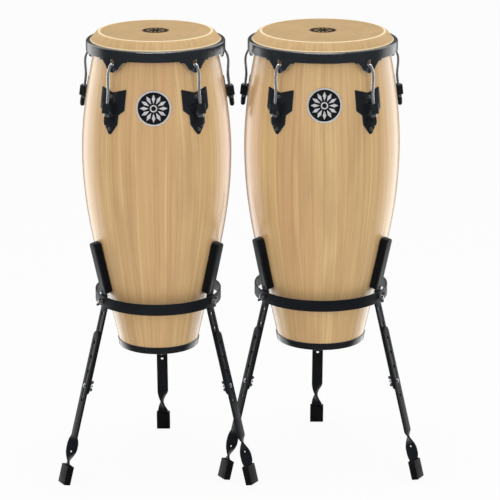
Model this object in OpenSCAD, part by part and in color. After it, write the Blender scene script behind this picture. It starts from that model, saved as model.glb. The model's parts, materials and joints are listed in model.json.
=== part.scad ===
// A pair of conga drums, each standing in its own adjustable basket stand.
// Millimetres, +Z up. The floor is z = 0 and the front is -Y.
// Every value that differs between the drums is a pair: [small drum, large drum].

/* [Small drum] */
// Diameter of the playing surface
small_head_d = 254; // [200:1:300]
// Diameter of the shell at its belly
small_belly_d = 328; // [300:1:360]
// Diameter of the wood at the foot of the shell
small_foot_d = 173; // [140:1:210]
// Height of the drum, foot to playing surface
small_drum_h = 711; // [680:1:760]

/* [Large drum] */
// Diameter of the playing surface
large_head_d = 280; // [240:1:320]
// Diameter of the shell at its belly
large_belly_d = 344; // [320:1:380]
// Diameter of the wood at the foot of the shell
large_foot_d = 192; // [160:1:220]
// Height of the drum, foot to playing surface
large_drum_h = 704; // [680:1:760]

/* [Shell] */
// Wall thickness of the wood
wall_t = 10; // [7:0.5:14]
// Height of the belly above the foot
belly_z = 445; // [400:1:480]
// Flare of the wood at the foot, sideways over up
foot_flare = 0.2; // [0.15:0.01:0.25]
// Taper of the wood at the crown, sideways over up
crown_taper = 0.22; // [0.15:0.01:0.3]
// Thickness of the black band at the foot
base_ring_t = 2; // [1:0.5:4]
// Height of the black band at the foot
base_ring_h = 16; // [10:1:24]
// Thickness of the lip under the wood
base_lip = 3; // [2:0.5:5]

/* [Head and rim] */
// Thickness of the rawhide
skin_t = 2.5; // [1.5:0.1:4]
// Drop from the playing surface to the top of the rim
rim_drop = 18; // [12:1:24]
// Height of the rim's band
rim_h = 23; // [18:1:30]
// Thickness of the rim's steel
rim_t = 3; // [2:0.5:4]
// Radius of the steel hoop in the skin's collar
hoop_r = 3; // [2:0.5:4]
// Slope of the skin's collar, sideways over down
collar_slope = 0.56; // [0.4:0.01:0.8]
// Width of an ear where it meets the band
ear_w = 70; // [56:1:80]
// Length of an ear below the band
ear_len = 27; // [24:1:34]
// Width of an ear's hole
ear_hole_w = 10; // [8.5:0.5:12]
// Height of an ear's hole
ear_hole_h = 14; // [12:0.5:16]
// Number of lugs round each drum
lug_count = 5; // [4:1:6]

/* [Lugs] */
// Diameter of the tension hook's rod
hook_d = 6.5; // [5:0.25:8]
// Bend radius of the hook's crook, to the rod's middle
crook_r = 8; // [7:0.5:10]
// Height of the bracket's middle below the playing surface
bracket_drop = 145; // [130:1:180]
// Width of the bracket
bracket_w = 20; // [16:1:26]
// Depth of the bracket from the shell
bracket_deep = 23; // [20:1:28]
// Height of the bracket
bracket_h = 22; // [16:1:30]
// Thickness of the bracket's steel
bracket_t = 3; // [2:0.5:4]
// Distance from the shell to the rod's middle, in the bracket
rod_out = 15.5; // [12:0.5:18]
// Width of a lug plate over its wings
plate_w = 66; // [50:1:80]
// Height of a lug plate
plate_h = 98; // [80:1:120]
// Thickness of a lug plate
plate_t = 2; // [1.5:0.5:3]
// Drop from the top of the wings to the middle of the bracket
plate_over = 43; // [36:1:50]
// Diameter of a lug bolt's shank
lug_bolt_d = 5; // [4:0.5:6]
// Height of the silver collar under a bracket
washer_h = 6.5; // [3:0.5:9]
// Diameter of the silver collar
washer_d = 13.5; // [10:0.5:16]
// Length of a tuning nut
nut_h = 20; // [14:1:26]
// Diameter of a tuning nut
nut_d = 12; // [9:0.5:15]

/* [Badge] */
// Diameter over the badge's silver ring
badge_d = 75; // [50:1:90]
// Width of the badge's silver ring
bezel_w = 3.5; // [2:0.5:6]
// Height of the badge's middle above the foot
badge_z = 572; // [540:1:600]

/* [Basket stand] */
// Height of the drum's foot above the floor
foot_z = 293; // [280:1:310]
// Height of the ring's middle above the floor
ring_z = 411; // [400:1:425]
// Height of the ring's band
ring_h = 25; // [18:1:32]
// Thickness of the ring's steel
ring_t = 3; // [2:0.5:5]
// Width of the flat bar of uprights and legs
bar_w = 25; // [20:1:30]
// Thickness of the flat bar
bar_t = 4; // [3:0.5:5]
// Outward lean of the legs, degrees from upright
leg_lean = 14.7; // [12:0.1:17]
// Thickness of a rubber pad
pad_t = 14; // [10:0.5:18]
// Length of a rubber pad
pad_len = 134; // [100:1:150]
// Height of a pad's lower end above the foot of the drum
pad_z = 122; // [116:1:130]
// Length of an upright's tail below the ring's middle
tail_len = 215; // [205:1:230]
// Pitch of the holes that set the height
hole_pitch = 33.5; // [30:0.5:36]
// Diameter of the holes that set the height
hole_d = 7; // [6.6:0.1:8]
// Distance from the ring's middle to the leg bolt
leg_bolt_s = 196; // [190:1:200]
// Distance from the ring's middle to a lower leg's top end
lower_top_s = 70; // [66:1:80]
// Diameter of the stand's bolts
bolt_d = 6; // [5:0.5:6.5]
// Distance from the ring's middle to the start of a leg's twist
twist_s = 314; // [300:1:320]
// Length of a leg's half-turn twist
twist_len = 71; // [60:1:78]
// Diameter of the hole in the twist
twist_hole_d = 5; // [3:0.5:6]
// Width of a rubber boot
boot_w = 31; // [28:1:38]
// Thickness of a rubber boot
boot_t = 16; // [14:1:20]
// Length of a rubber boot
boot_h = 43; // [36:1:50]
// How far the floor flattens a boot's lower edge
boot_press = 1.2; // [0.5:0.1:2]
// Span of a wing nut's wings
wing_span = 25; // [20:1:28]

/* [Layout] */
// Distance between the drums' axes, side to side
drum_spacing = 364; // [350:1:420]
// Gap between the two inner legs where they cross
pass_gap = 10; // [6:1:40]
// Clearance between seated curved faces
seat_gap = 0.1; // [0.05:0.05:0.3]
// Clearance between pieces that move past each other
slide_gap = 0.3; // [0.2:0.05:0.5]
// Radial clearance of a wing nut on its bolt
thread_gap = 0.08; // [0.05:0.01:0.1]

/* [Hidden] */
$fn = 96;
SMALL = 0;
LARGE = 1;
HEAD_R = [small_head_d / 2, large_head_d / 2];
BELLY_R = [small_belly_d / 2, large_belly_d / 2];
FOOT_R = [small_foot_d / 2, large_foot_d / 2];
DRUM_H = [small_drum_h, large_drum_h];
FRONT = 270;
LEG_COUNT = 3;
// Distance that a cut or a blank runs past the piece it makes
OVER = 3;
// Legs 0, 1 and 2 are the rear, left and right ones
function leg_az(i) = 90 + i * 360 / LEG_COUNT;
function lug_az(i) = FRONT + (i + 0.5) * 360 / lug_count;

// Shell outline: two cubic curves that meet at the belly, as [radius, height].
FOOT_HANDLE = 147;
BELLY_HANDLE_DOWN = 175;
BELLY_HANDLE_UP = 85;
CROWN_HANDLE = 80;
CURVE_STEPS = 12;
// The wood's crown is this much smaller than the playing surface
CROWN_IN = 0.5;
function wood_top(k) = DRUM_H[k] - skin_t;
function crown_r(k) = HEAD_R[k] - CROWN_IN;
function lower_curve(k) = [
    [FOOT_R[k], base_lip],
    [FOOT_R[k] + foot_flare * FOOT_HANDLE, base_lip + FOOT_HANDLE],
    [BELLY_R[k], belly_z - BELLY_HANDLE_DOWN],
    [BELLY_R[k], belly_z]];
function upper_curve(k) = [
    [BELLY_R[k], belly_z],
    [BELLY_R[k], belly_z + BELLY_HANDLE_UP],
    [crown_r(k) + crown_taper * CROWN_HANDLE, wood_top(k) - CROWN_HANDLE],
    [crown_r(k), wood_top(k)]];
function bezier(p, t) =
    pow(1 - t, 3) * p[0] + 3 * pow(1 - t, 2) * t * p[1] + 3 * (1 - t) * t * t * p[2] + pow(t, 3) * p[3];
function outline(k) = concat(
    [for (i = [0:CURVE_STEPS]) bezier(lower_curve(k), i / CURVE_STEPS)],
    [for (i = [1:CURVE_STEPS]) bezier(upper_curve(k), i / CURVE_STEPS)]);
HEIGHT_TO_R = [for (k = [SMALL, LARGE]) [for (p = outline(k)) [p[1], p[0]]]];
function shell_r(k, z) = lookup(z, HEIGHT_TO_R[k]);
function shell_tilt(k, z) = atan((shell_r(k, z + 5) - shell_r(k, z - 5)) / 10);
function outline_between(k, low, high) = concat(
    [[shell_r(k, low), low]],
    [for (p = outline(k)) if (p[1] > low + 0.5 && p[1] < high - 0.5) p],
    [[shell_r(k, high), high]]);
function reversed(list) = [for (i = [len(list) - 1:-1:0]) list[i]];

// Head, rim and hooks
SHOULDER_R = 5;
// The skin's shoulder stands out past the playing surface, and the hoop stays inside the collar's slope
SHOULDER_OUT = 2.5;
HOOP_IN = 2;
// Clearance between the skin and the rim
SKIN_GAP = 0.4;
fold_r = hoop_r + skin_t;
function rim_z(k) = DRUM_H[k] - rim_drop;
function hoop_z(k) = rim_z(k) - rim_t - fold_r - SKIN_GAP;
function hoop_ring_r(k) = HEAD_R[k] + SHOULDER_OUT + collar_slope * (DRUM_H[k] - hoop_z(k)) - HOOP_IN;
function rim_r(k) = hoop_ring_r(k) + fold_r + rim_t + SKIN_GAP;
// The collar's slope runs from the shoulder's round to the fold round the hoop, tangent to both at collar_az
function arc(mid, r, from, to, steps) = [for (i = [0:steps])
    let (a = from + (to - from) * i / steps) mid + r * [cos(a), sin(a)]];
function shoulder_mid(k) = [HEAD_R[k] - SHOULDER_R + SHOULDER_OUT, DRUM_H[k] - SHOULDER_R];
function hoop_mid(k) = [hoop_ring_r(k), hoop_z(k)];
function collar_az(k) =
    let (run = hoop_mid(k) - shoulder_mid(k)) atan2(run.y, run.x) + acos((SHOULDER_R - fold_r) / norm(run));
function collar_out_r(k, z) =
    hoop_ring_r(k) + (fold_r - (z - hoop_z(k)) * sin(collar_az(k))) / cos(collar_az(k));
function ear_tip_z(k) = rim_z(k) - rim_h - ear_len;
// Height of the lip between an ear's tip and its hole
EAR_LIP_H = 15;
EAR_TIP_R = 10;
EAR_SCALLOP_R = 8;
// Depth of the ear's waist, as a share of its length
EAR_WAIST = 0.56;
function ear_lip_z(k) = ear_tip_z(k) + EAR_LIP_H;
hook_r = hook_d / 2;
function bracket_z(k) = DRUM_H[k] - bracket_drop;
function crook_z(k) = ear_lip_z(k) - (sqrt(pow(crook_r - hook_r, 2) - pow(rim_t / 2, 2)) - slide_gap);
washer_z = -bracket_h / 2 - washer_h;
nut_z = washer_z - nut_h;
// Thickness of the closed end of a tuning nut
NUT_END = 4;
plate_foot = plate_over - plate_h;
// Heights of the plate's corners below the top of its wings, and the dip between the wings
WING_H = 45;
NECK_H = 56;
WAIST_H = 76;
WING_DIP = 9;
// Distances of the lug bolts from the plate's top and foot
LUG_BOLT_TOP = 18;
LUG_BOLT_FOOT = 11;
LUG_HEAD_R = 4.2;
LUG_HEAD_H = 2.7;
LUG_NUT_R = 4.6;
LUG_NUT_H = 3.6;
backing_w = 24;
backing_t = 2;
badge_t = 1.5;
BEZEL_UP = 0.8;

// Stand: heights here are above the floor
function chord_tilt(k) = atan((shell_r(k, pad_z + pad_len) - shell_r(k, pad_z)) / pad_len);
function chord_r(k, z) = shell_r(k, pad_z) + (z - pad_z) * tan(chord_tilt(k));
function bulge(k) = max([for (z = [pad_z:8:pad_z + pad_len]) shell_r(k, z) - chord_r(k, z)]);
BEND_MARGIN = 1.5;
bend_up_z = ring_z + ring_h / 2 + BEND_MARGIN;
bend_down_z = ring_z - ring_h / 2 - BEND_MARGIN;
function pad_face_r(k, z) = chord_r(k, z - foot_z) + bulge(k) + slide_gap / cos(chord_tilt(k));
function bar_face_r(k) = pad_face_r(k, bend_up_z) + (pad_t + bar_t) / cos(chord_tilt(k));
function ring_inner_r(k) = sqrt(pow(bar_face_r(k), 2) + pow(bar_w / 2, 2)) + seat_gap;
function ring_outer_r(k) = ring_inner_r(k) + ring_t;
bend_s = ring_z - bend_down_z;
pad_top_s = pad_len - (bend_up_z - foot_z - pad_z) / cos(chord_tilt(SMALL));
lower_mid_x = slide_gap + bar_t / 2;
boot_end_s = bend_s + (bend_down_z + (lower_mid_x - boot_t / 2) * sin(leg_lean) + boot_press) / cos(leg_lean);
twist_end_s = twist_s + twist_len;
// Rubber under the end of a leg's bar
SOLE = 8;
bar_end_s = boot_end_s - SOLE;
lower_x = slide_gap;
HEAD_GAP = 0.2;
head_x = lower_x + bar_t + HEAD_GAP;
TWIST_SLICES = 24;
// Overlap that joins the straight bar to its twist
JOIN = 0.5;
// Rows of holes that set the height
TAIL_HOLES = 5;
LOWER_HOLES = 5;
bolt_r = bolt_d / 2;
nut_bore_r = bolt_r + thread_gap;
hub_r = 5.5;
hub_h = 7;
wing_t = 2.4;
bolt_head_h = 3.5;
bolt_head_r = 5;
// Turn of the ring's wing nuts from level
NUT_TURN = 60;
// Lengths of bolt that show past the wing nuts
RING_BOLT_OUT = 3;
LEG_BOLT_OUT = 4;
SEAT = 0.05;

// Layout: the origin is the middle of the floor that the pair covers
function foot_reach(k) = bar_face_r(k) + bend_down_z * tan(leg_lean) + boot_t / 2;
function side_reach(k) = foot_reach(k) * cos(30) + boot_w / 2 * sin(30);
large_back = pass_gap + bar_w * cos(30) + (3 * bar_t + slide_gap) * sin(30)
    + (bar_face_r(LARGE) - bar_face_r(SMALL)) * sin(30) - bar_t;
small_x = -(drum_spacing + side_reach(LARGE) - side_reach(SMALL)) / 2;
small_y = -(large_back + foot_reach(LARGE) - BELLY_R[SMALL]) / 2;
PLACE = [[small_x, small_y, 0], [small_x + drum_spacing, small_y + large_back, 0]];

WOOD = "burlywood";
SKIN = "wheat";
BLACK = "#1d2022";
RUBBER = "#0e0e0f";
SILVER = "silver";

// Frames that the pieces are placed in

// A drum's own frame: its axis, with z = 0 at its foot
module on_drum(k) {
    translate(PLACE[k] + [0, 0, foot_z]) children();
}

// On the wood: +X out of the wood, +Z up along it
module on_shell(k, az, z) {
    rotate([0, 0, az]) translate([shell_r(k, z), 0, z]) rotate([0, shell_tilt(k, z), 0]) children();
}

module at_lugs(k, z) {
    for (i = [0:lug_count - 1]) on_shell(k, lug_az(i), z) children();
}

// At the middle of a lug's bracket, at each lug
module at_brackets(k) {
    at_lugs(k, bracket_z(k)) children();
}

// A leg's frame: +X out of the tail's outer face, +Z up along it, z = -s below the ring's middle
module on_leg(k, i) {
    translate(PLACE[k]) rotate([0, 0, leg_az(i)]) translate([bar_face_r(k), 0, bend_down_z])
        rotate([0, -leg_lean, 0]) translate([0, 0, bend_s]) children();
}

module at_ring_bolt(k, i) {
    translate(PLACE[k]) rotate([0, 0, leg_az(i)]) translate([0, 0, ring_z]) children();
}

// A flat outline, y across and z up, given thickness t along +X
module plate_x(t) {
    rotate([90, 0, 90]) linear_extrude(t) children();
}

module rod_x(r, from, to) {
    translate([from, 0, 0]) rotate([0, 90, 0]) cylinder(r = r, h = to - from);
}

// A layer that follows the wood between two heights, from offset a to offset b
module shell_layer(k, low, high, a, b) {
    line = outline_between(k, low, high);
    rotate_extrude() polygon(concat(
        [for (p = line) p + [b, 0]],
        [for (p = reversed(line)) p + [a, 0]]));
}

// Drum pieces

module shell_hole_pattern(k) {
    for (z = lug_bolt_heights(k)) at_lugs(k, z) rod_x(lug_bolt_d / 2 + seat_gap, -wall_t - OVER, OVER);
}

module shell(k) {
    edge_r = wall_t / 2;
    top = wood_top(k);
    line = outline_between(k, base_lip, top - edge_r);
    color(WOOD) on_drum(k) difference() {
        union() {
            rotate_extrude() polygon(concat(line, [for (p = reversed(line)) p - [wall_t, 0]]));
            translate([0, 0, top - edge_r]) rotate_extrude()
                translate([shell_r(k, top - edge_r) - edge_r, 0]) intersection() {
                    circle(r = edge_r);
                    translate([-edge_r, 0]) square([2 * edge_r, edge_r]);
                }
        }
        shell_hole_pattern(k);
    }
}

module base_ring(k) {
    r0 = shell_r(k, base_lip);
    r1 = shell_r(k, base_ring_h);
    edge = 0.8;
    color(BLACK) on_drum(k) rotate_extrude() polygon([
        [r0 - wall_t, 0],
        [r0 + base_ring_t - edge, 0],
        [r0 + base_ring_t, edge],
        [r1 + base_ring_t, base_ring_h - edge],
        [r1 + base_ring_t - edge, base_ring_h],
        [r1 + seat_gap, base_ring_h],
        [r0 + seat_gap, base_lip - seat_gap],
        [r0 - wall_t, base_lip - seat_gap]]);
}

// The skin: flat top, round shoulder, sloping collar, and a fold round the hoop
SHOULDER_STEPS = 6;
FOLD_STEPS = 30;
module head(k) {
    az = collar_az(k);
    fold_end = az + acos(hoop_r / fold_r) - 360;
    color(SKIN) on_drum(k) rotate_extrude() difference() {
        polygon(concat(
            [[0, DRUM_H[k]]],
            arc(shoulder_mid(k), SHOULDER_R, 90, az, SHOULDER_STEPS),
            arc(hoop_mid(k), fold_r, az, fold_end, FOLD_STEPS),
            arc(shoulder_mid(k), SHOULDER_R - skin_t, az, 90, SHOULDER_STEPS),
            [[0, DRUM_H[k] - skin_t]]));
        translate(hoop_mid(k)) circle(r = hoop_r);
    }
}

module head_hoop(k) {
    color(SILVER) on_drum(k) rotate_extrude() translate(hoop_mid(k)) circle(r = hoop_r - seat_gap);
}

// An ear's outline, y = 0 at the foot of the band, with two scallops on each side
module ear_outline() {
    difference() {
        union() {
            polygon([
                [-ear_w / 2, OVER],
                [-ear_w / 2, 0],
                [-ear_w / 4, -ear_len * EAR_WAIST],
                [-EAR_TIP_R, EAR_TIP_R - ear_len],
                [EAR_TIP_R, EAR_TIP_R - ear_len],
                [ear_w / 4, -ear_len * EAR_WAIST],
                [ear_w / 2, 0],
                [ear_w / 2, OVER]]);
            translate([0, EAR_TIP_R - ear_len]) circle(r = EAR_TIP_R);
        }
        for (side = [-1, 1]) {
            translate([side * (ear_w / 2 - 3), -EAR_SCALLOP_R - 3]) circle(r = EAR_SCALLOP_R);
            translate([side * (EAR_TIP_R + EAR_SCALLOP_R + 1), 1 - ear_len])
                circle(r = EAR_SCALLOP_R);
        }
    }
}

module ear_hole() {
    hole_r = ear_hole_w / 2;
    translate([0, EAR_LIP_H - ear_len + hole_r]) circle(r = hole_r);
    translate([0, EAR_LIP_H - ear_len + ear_hole_h - hole_r]) circle(r = hole_r);
    translate([-hole_r, EAR_LIP_H - ear_len + hole_r]) square([ear_hole_w, ear_hole_h - ear_hole_w]);
}

module rim(k) {
    top = rim_z(k);
    out = rim_r(k);
    corner = rim_t;
    color(BLACK) on_drum(k) union() {
        rotate_extrude() union() {
            translate([out - rim_t, top - rim_h]) square([rim_t, rim_h - corner]);
            polygon([
                [out - corner, top - rim_t],
                [out - corner, top],
                [collar_out_r(k, top) + SKIN_GAP, top],
                [collar_out_r(k, top - rim_t) + SKIN_GAP, top - rim_t]]);
            intersection() {
                translate([out - corner, top - corner]) circle(r = corner);
                translate([out - corner, top - corner]) square(corner);
            }
        }
        for (i = [0:lug_count - 1]) intersection() {
            translate([0, 0, top - rim_h - ear_len]) difference() {
                cylinder(r = out, h = ear_len + OVER);
                translate([0, 0, -OVER]) cylinder(r = out - rim_t, h = ear_len + 3 * OVER);
            }
            rotate([0, 0, lug_az(i)]) translate([0, 0, top - rim_h]) plate_x(out + OVER) difference() {
                ear_outline();
                ear_hole();
            }
        }
    }
}

// A round rod swept along points that lie in one upright plane, as [r, z]
ROD_SIDES = 10;
function path_dir(path, i) =
    let (a = path[max(i - 1, 0)], b = path[min(i + 1, len(path) - 1)]) (b - a) / norm(b - a);
module flat_sweep(path, r) {
    n = len(path);
    rings = [for (i = [0:n - 1]) let (d = path_dir(path, i)) for (j = [0:ROD_SIDES - 1])
        let (c = r * cos(360 * j / ROD_SIDES), s = r * sin(360 * j / ROD_SIDES))
        [path[i][0] - c * d[1], s, path[i][1] + c * d[0]]];
    sides = [for (i = [0:n - 2]) for (j = [0:ROD_SIDES - 1])
        let (a = i * ROD_SIDES + j, b = i * ROD_SIDES + (j + 1) % ROD_SIDES)
        [a, b, b + ROD_SIDES, a + ROD_SIDES]];
    start = [for (j = [0:ROD_SIDES - 1]) ROD_SIDES - 1 - j];
    end = [for (j = [0:ROD_SIDES - 1]) (n - 1) * ROD_SIDES + j];
    polyhedron(points = rings, faces = concat([start], sides, [end]));
}

// Middle line of a tension hook, from the tip inside the ear to its end in the tuning nut
CROOK_STEPS = 8;
BOW_STEPS = 9;
CROOK_IN = 160;
CROOK_OUT = 25;
function hook_path(k) =
    let (
        crook = [rim_r(k) - rim_t / 2, crook_z(k)],
        tip = crook + crook_r * [cos(CROOK_IN), sin(CROOK_IN)],
        tilt = shell_tilt(k, bracket_z(k)),
        up = [sin(tilt), cos(tilt)],
        rod = [shell_r(k, bracket_z(k)), bracket_z(k)] + rod_out * [cos(tilt), -sin(tilt)],
        leave = crook + crook_r * [cos(CROOK_OUT), sin(CROOK_OUT)],
        straight = rod + (bracket_h / 2 + 14) * up,
        bow = [leave, leave + 26 * [sin(CROOK_OUT + 10), -cos(CROOK_OUT + 10)], straight + 30 * up, straight])
    concat(
        [tip - 4 * [sin(CROOK_IN), -cos(CROOK_IN)]],
        [for (i = [0:CROOK_STEPS]) let (a = CROOK_IN + (CROOK_OUT - CROOK_IN) * i / CROOK_STEPS)
            crook + crook_r * [cos(a), sin(a)]],
        [for (i = [1:BOW_STEPS]) bezier(bow, i / BOW_STEPS)],
        [rod + (nut_z + NUT_END) * up]);

module tension_hooks(k) {
    color(SILVER) on_drum(k) for (i = [0:lug_count - 1]) rotate([0, 0, lug_az(i)])
        flat_sweep(hook_path(k), hook_r);
}

module tuning_washers(k) {
    color(SILVER) on_drum(k) at_brackets(k) translate([rod_out, 0, washer_z + SEAT]) difference() {
        cylinder(r = washer_d / 2, h = washer_h - 2 * SEAT);
        translate([0, 0, -OVER]) cylinder(r = hook_r + seat_gap, h = washer_h + 2 * OVER);
    }
}

module tuning_nuts(k) {
    dome_r = nut_d / 2;
    color(BLACK) on_drum(k) at_brackets(k) translate([rod_out, 0, nut_z]) difference() {
        union() {
            translate([0, 0, dome_r]) cylinder(r = dome_r, h = nut_h - dome_r);
            translate([0, 0, dome_r]) sphere(r = dome_r);
        }
        translate([0, 0, NUT_END - SEAT]) cylinder(r = hook_r + SEAT, h = nut_h);
    }
}

// A lug plate's outline, y = 0 at the middle of the bracket
module plate_outline() {
    wing = plate_w / 2;
    neck = plate_w / 4 + 3;
    waist = neck - 1;
    toe = 3;
    top = plate_over;
    polygon([
        [-wing, top],
        [0, top - WING_DIP],
        [wing, top],
        [wing, top - WING_H],
        [neck, top - NECK_H],
        [waist, top - WAIST_H],
        [toe, plate_foot],
        [-toe, plate_foot],
        [-waist, top - WAIST_H],
        [-neck, top - NECK_H],
        [-wing, top - WING_H]]);
}

function lug_bolt_heights(k) = [
    bracket_z(k) + plate_over - LUG_BOLT_TOP,
    bracket_z(k) + plate_foot + LUG_BOLT_FOOT];

module lug_plates(k) {
    z = bracket_z(k);
    inside = bracket_w - 2 * bracket_t;
    root = plate_t / 3;
    color(BLACK) on_drum(k) difference() {
        union() {
            for (i = [0:lug_count - 1]) intersection() {
                shell_layer(k, z + plate_foot - OVER, z + plate_over + OVER, seat_gap, seat_gap + plate_t);
                rotate([0, 0, lug_az(i)]) translate([0, 0, z]) plate_x(BELLY_R[k] + OVER) plate_outline();
            }
            at_brackets(k) translate([0, 0, -bracket_h / 2]) linear_extrude(bracket_h) difference() {
                translate([root, -bracket_w / 2]) square([bracket_deep - root, bracket_w]);
                translate([0, -inside / 2]) square([bracket_deep - bracket_t, inside]);
            }
        }
        for (h = lug_bolt_heights(k)) at_lugs(k, h) rod_x(lug_bolt_d / 2 + seat_gap, -OVER, plate_t + OVER);
    }
}

module backing_plates(k) {
    beyond = backing_w / 2 + 2;
    heights = lug_bolt_heights(k);
    low = heights[1] - beyond;
    high = heights[0] + beyond;
    face = -wall_t - seat_gap;
    color(BLACK) on_drum(k) difference() {
        for (i = [0:lug_count - 1]) intersection() {
            shell_layer(k, low, high, face - backing_t, face);
            rotate([0, 0, lug_az(i)]) plate_x(BELLY_R[k]) translate([-backing_w / 2, low])
                square([backing_w, high - low]);
        }
        for (h = heights) at_lugs(k, h) rod_x(lug_bolt_d / 2 + seat_gap, face - backing_t - OVER, OVER);
    }
}

module lug_bolts(k) {
    in = -wall_t - backing_t - 2 * seat_gap;
    out = plate_t + 2 * seat_gap;
    rim = LUG_HEAD_H * 0.6;
    color(BLACK) on_drum(k) for (h = lug_bolt_heights(k)) at_lugs(k, h) union() {
        rod_x(lug_bolt_d / 2, in - LUG_NUT_H - 1, out + 1);
        rod_x(LUG_HEAD_R, out, out + rim);
        translate([out + rim, 0, 0]) rotate([0, 90, 0])
            cylinder(r1 = LUG_HEAD_R, r2 = LUG_HEAD_R * 0.6, h = LUG_HEAD_H - rim);
        translate([in - LUG_NUT_H, 0, 0]) rotate([0, 90, 0]) cylinder(r = LUG_NUT_R, h = LUG_NUT_H, $fn = 6);
    }
}

module badge_layer(k, t) {
    reach = badge_d / 2 + OVER;
    shell_layer(k, badge_z - reach, badge_z + reach, seat_gap, seat_gap + t);
}

module badge_bezel(k) {
    color(SILVER) on_drum(k) intersection() {
        badge_layer(k, badge_t + BEZEL_UP);
        rotate([0, 0, FRONT]) translate([0, 0, badge_z]) difference() {
            rod_x(badge_d / 2, badge_d, BELLY_R[k]);
            rod_x(badge_d / 2 - bezel_w, badge_d - OVER, BELLY_R[k] + OVER);
        }
    }
}

module badge_disc(k) {
    color(BLACK) on_drum(k) intersection() {
        badge_layer(k, badge_t);
        rotate([0, 0, FRONT]) translate([0, 0, badge_z])
            rod_x(badge_d / 2 - bezel_w - SEAT, badge_d, BELLY_R[k]);
    }
}

// Stand pieces

module ring(k) {
    color(BLACK) difference() {
        translate(PLACE[k] + [0, 0, ring_z - ring_h / 2]) difference() {
            cylinder(r = ring_outer_r(k), h = ring_h);
            translate([0, 0, -OVER]) cylinder(r = ring_inner_r(k), h = ring_h + 2 * OVER);
        }
        for (i = [0:LEG_COUNT - 1]) at_ring_bolt(k, i)
            rod_x(bolt_r + seat_gap, ring_inner_r(k) - OVER, ring_outer_r(k) + OVER);
    }
}

// Corners to cut from the end of a bar, with the end at y = 0 and the bar below it.
// CORNER_EASE keeps the round from being exactly tangent to the bar's faces.
CORNER_EASE = 0.05;
module end_corners(w, r) {
    mid_x = w / 2 - r + CORNER_EASE;
    difference() {
        translate([-w / 2 - 1, -r]) square([w + 2, r + 1]);
        for (side = [-1, 1]) translate([side * mid_x, CORNER_EASE - r]) circle(r = r);
        translate([-mid_x, -r - 1]) square([2 * mid_x, r + 1 + CORNER_EASE]);
    }
}

// An upright seen from the side: outer face, then inner face, as [r, z]
function upright_outline(k) =
    let (
        up = chord_tilt(k),
        up_dir = [sin(up), cos(up)],
        down_dir = [sin(leg_lean), -cos(leg_lean)],
        face = bar_face_r(k),
        high = [face, bend_up_z],
        low = [face, bend_down_z],
        top = high + pad_top_s * up_dir,
        tail = low + (tail_len - bend_s) * down_dir,
        in_up = bar_t * [-cos(up), sin(up)],
        in_down = bar_t * [-cos(leg_lean), -sin(leg_lean)])
    [tail, low, high, top, top + in_up,
        high + bar_t * [-1, tan(up / 2)],
        low + bar_t * [-1, -tan(leg_lean / 2)],
        tail + in_down];

module on_pad(k, i) {
    translate(PLACE[k]) rotate([0, 0, leg_az(i)]) translate([bar_face_r(k), 0, bend_up_z])
        rotate([0, chord_tilt(k), 0]) children();
}

END_ROUND = 9;
// The small hole in an upright just above the ring
PEEP_R = 2.5;
PEEP_UP = 8;
// Distance from the bend above the ring up to the foot of a pad
PAD_UP = 3.7;
module uprights(k) {
    color(BLACK) for (i = [0:LEG_COUNT - 1]) difference() {
        translate(PLACE[k]) rotate([0, 0, leg_az(i)]) rotate([90, 0, 0])
            translate([0, 0, -bar_w / 2]) linear_extrude(bar_w) polygon(upright_outline(k));
        at_ring_bolt(k, i) rod_x(bolt_r + seat_gap, bar_face_r(k) - bar_t - OVER, bar_face_r(k) + OVER);
        on_leg(k, i) {
            for (j = [1:TAIL_HOLES]) translate([0, 0, j * hole_pitch - leg_bolt_s])
                rod_x(hole_d / 2, -bar_t - OVER, OVER);
            translate([0, 0, -leg_bolt_s]) rod_x(bolt_r + seat_gap, -bar_t - OVER, OVER);
            translate([-bar_t - OVER, 0, -tail_len]) mirror([0, 0, 1]) plate_x(bar_t + 2 * OVER)
                end_corners(bar_w, END_ROUND);
        }
        on_pad(k, i) {
            translate([0, 0, PEEP_UP]) rod_x(PEEP_R, -bar_t - OVER, OVER);
            translate([-bar_t - OVER, 0, pad_top_s]) plate_x(bar_t + 2 * OVER) end_corners(bar_w, END_ROUND);
        }
    }
}

module pads(k) {
    color(RUBBER) for (i = [0:LEG_COUNT - 1]) on_pad(k, i) difference() {
        translate([-bar_t - pad_t, 0, PAD_UP]) plate_x(pad_t - SEAT)
            translate([-bar_w / 2, 0]) square([bar_w, pad_top_s - PAD_UP]);
        translate([-bar_t - pad_t - OVER, 0, pad_top_s]) plate_x(pad_t + 2 * OVER)
            end_corners(bar_w, END_ROUND);
    }
}

module hex_head() {
    rotate([0, 90, 0]) cylinder(r = bolt_head_r, h = bolt_head_h, $fn = 6);
}

module ring_bolts(k) {
    in = bar_face_r(k) - bar_t - SEAT;
    color(SILVER) for (i = [0:LEG_COUNT - 1]) at_ring_bolt(k, i) union() {
        rod_x(bolt_r, in - 1, ring_outer_r(k) + hub_h + RING_BOLT_OUT);
        translate([in - bolt_head_h, 0, 0]) hex_head();
    }
}

// A wing nut that sits at x = 0 and points along +X
module wing_nut() {
    tip_r = 4;
    root_y = 3;
    tip_y = wing_span / 2 - tip_r;
    tip_x = hub_h + 1.5;
    difference() {
        union() {
            rod_x(hub_r, 0, hub_h);
            translate([0, 0, -wing_t / 2]) linear_extrude(wing_t) for (side = [-1, 1]) {
                polygon([
                    [1, side * root_y],
                    [hub_h - 0.5, side * root_y],
                    [tip_x + tip_r * cos(60), side * (tip_y - tip_r * sin(60))],
                    [tip_x - tip_r * cos(60), side * (tip_y + tip_r * sin(60))],
                    [1, side * hub_r]]);
                translate([tip_x, side * tip_y]) circle(r = tip_r);
            }
        }
        rod_x(nut_bore_r, -OVER, wing_span);
    }
}

module ring_nut(k, i) {
    color(SILVER) at_ring_bolt(k, i) translate([ring_outer_r(k) + slide_gap, 0, 0])
        rotate([NUT_TURN, 0, 0]) wing_nut();
}

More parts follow.
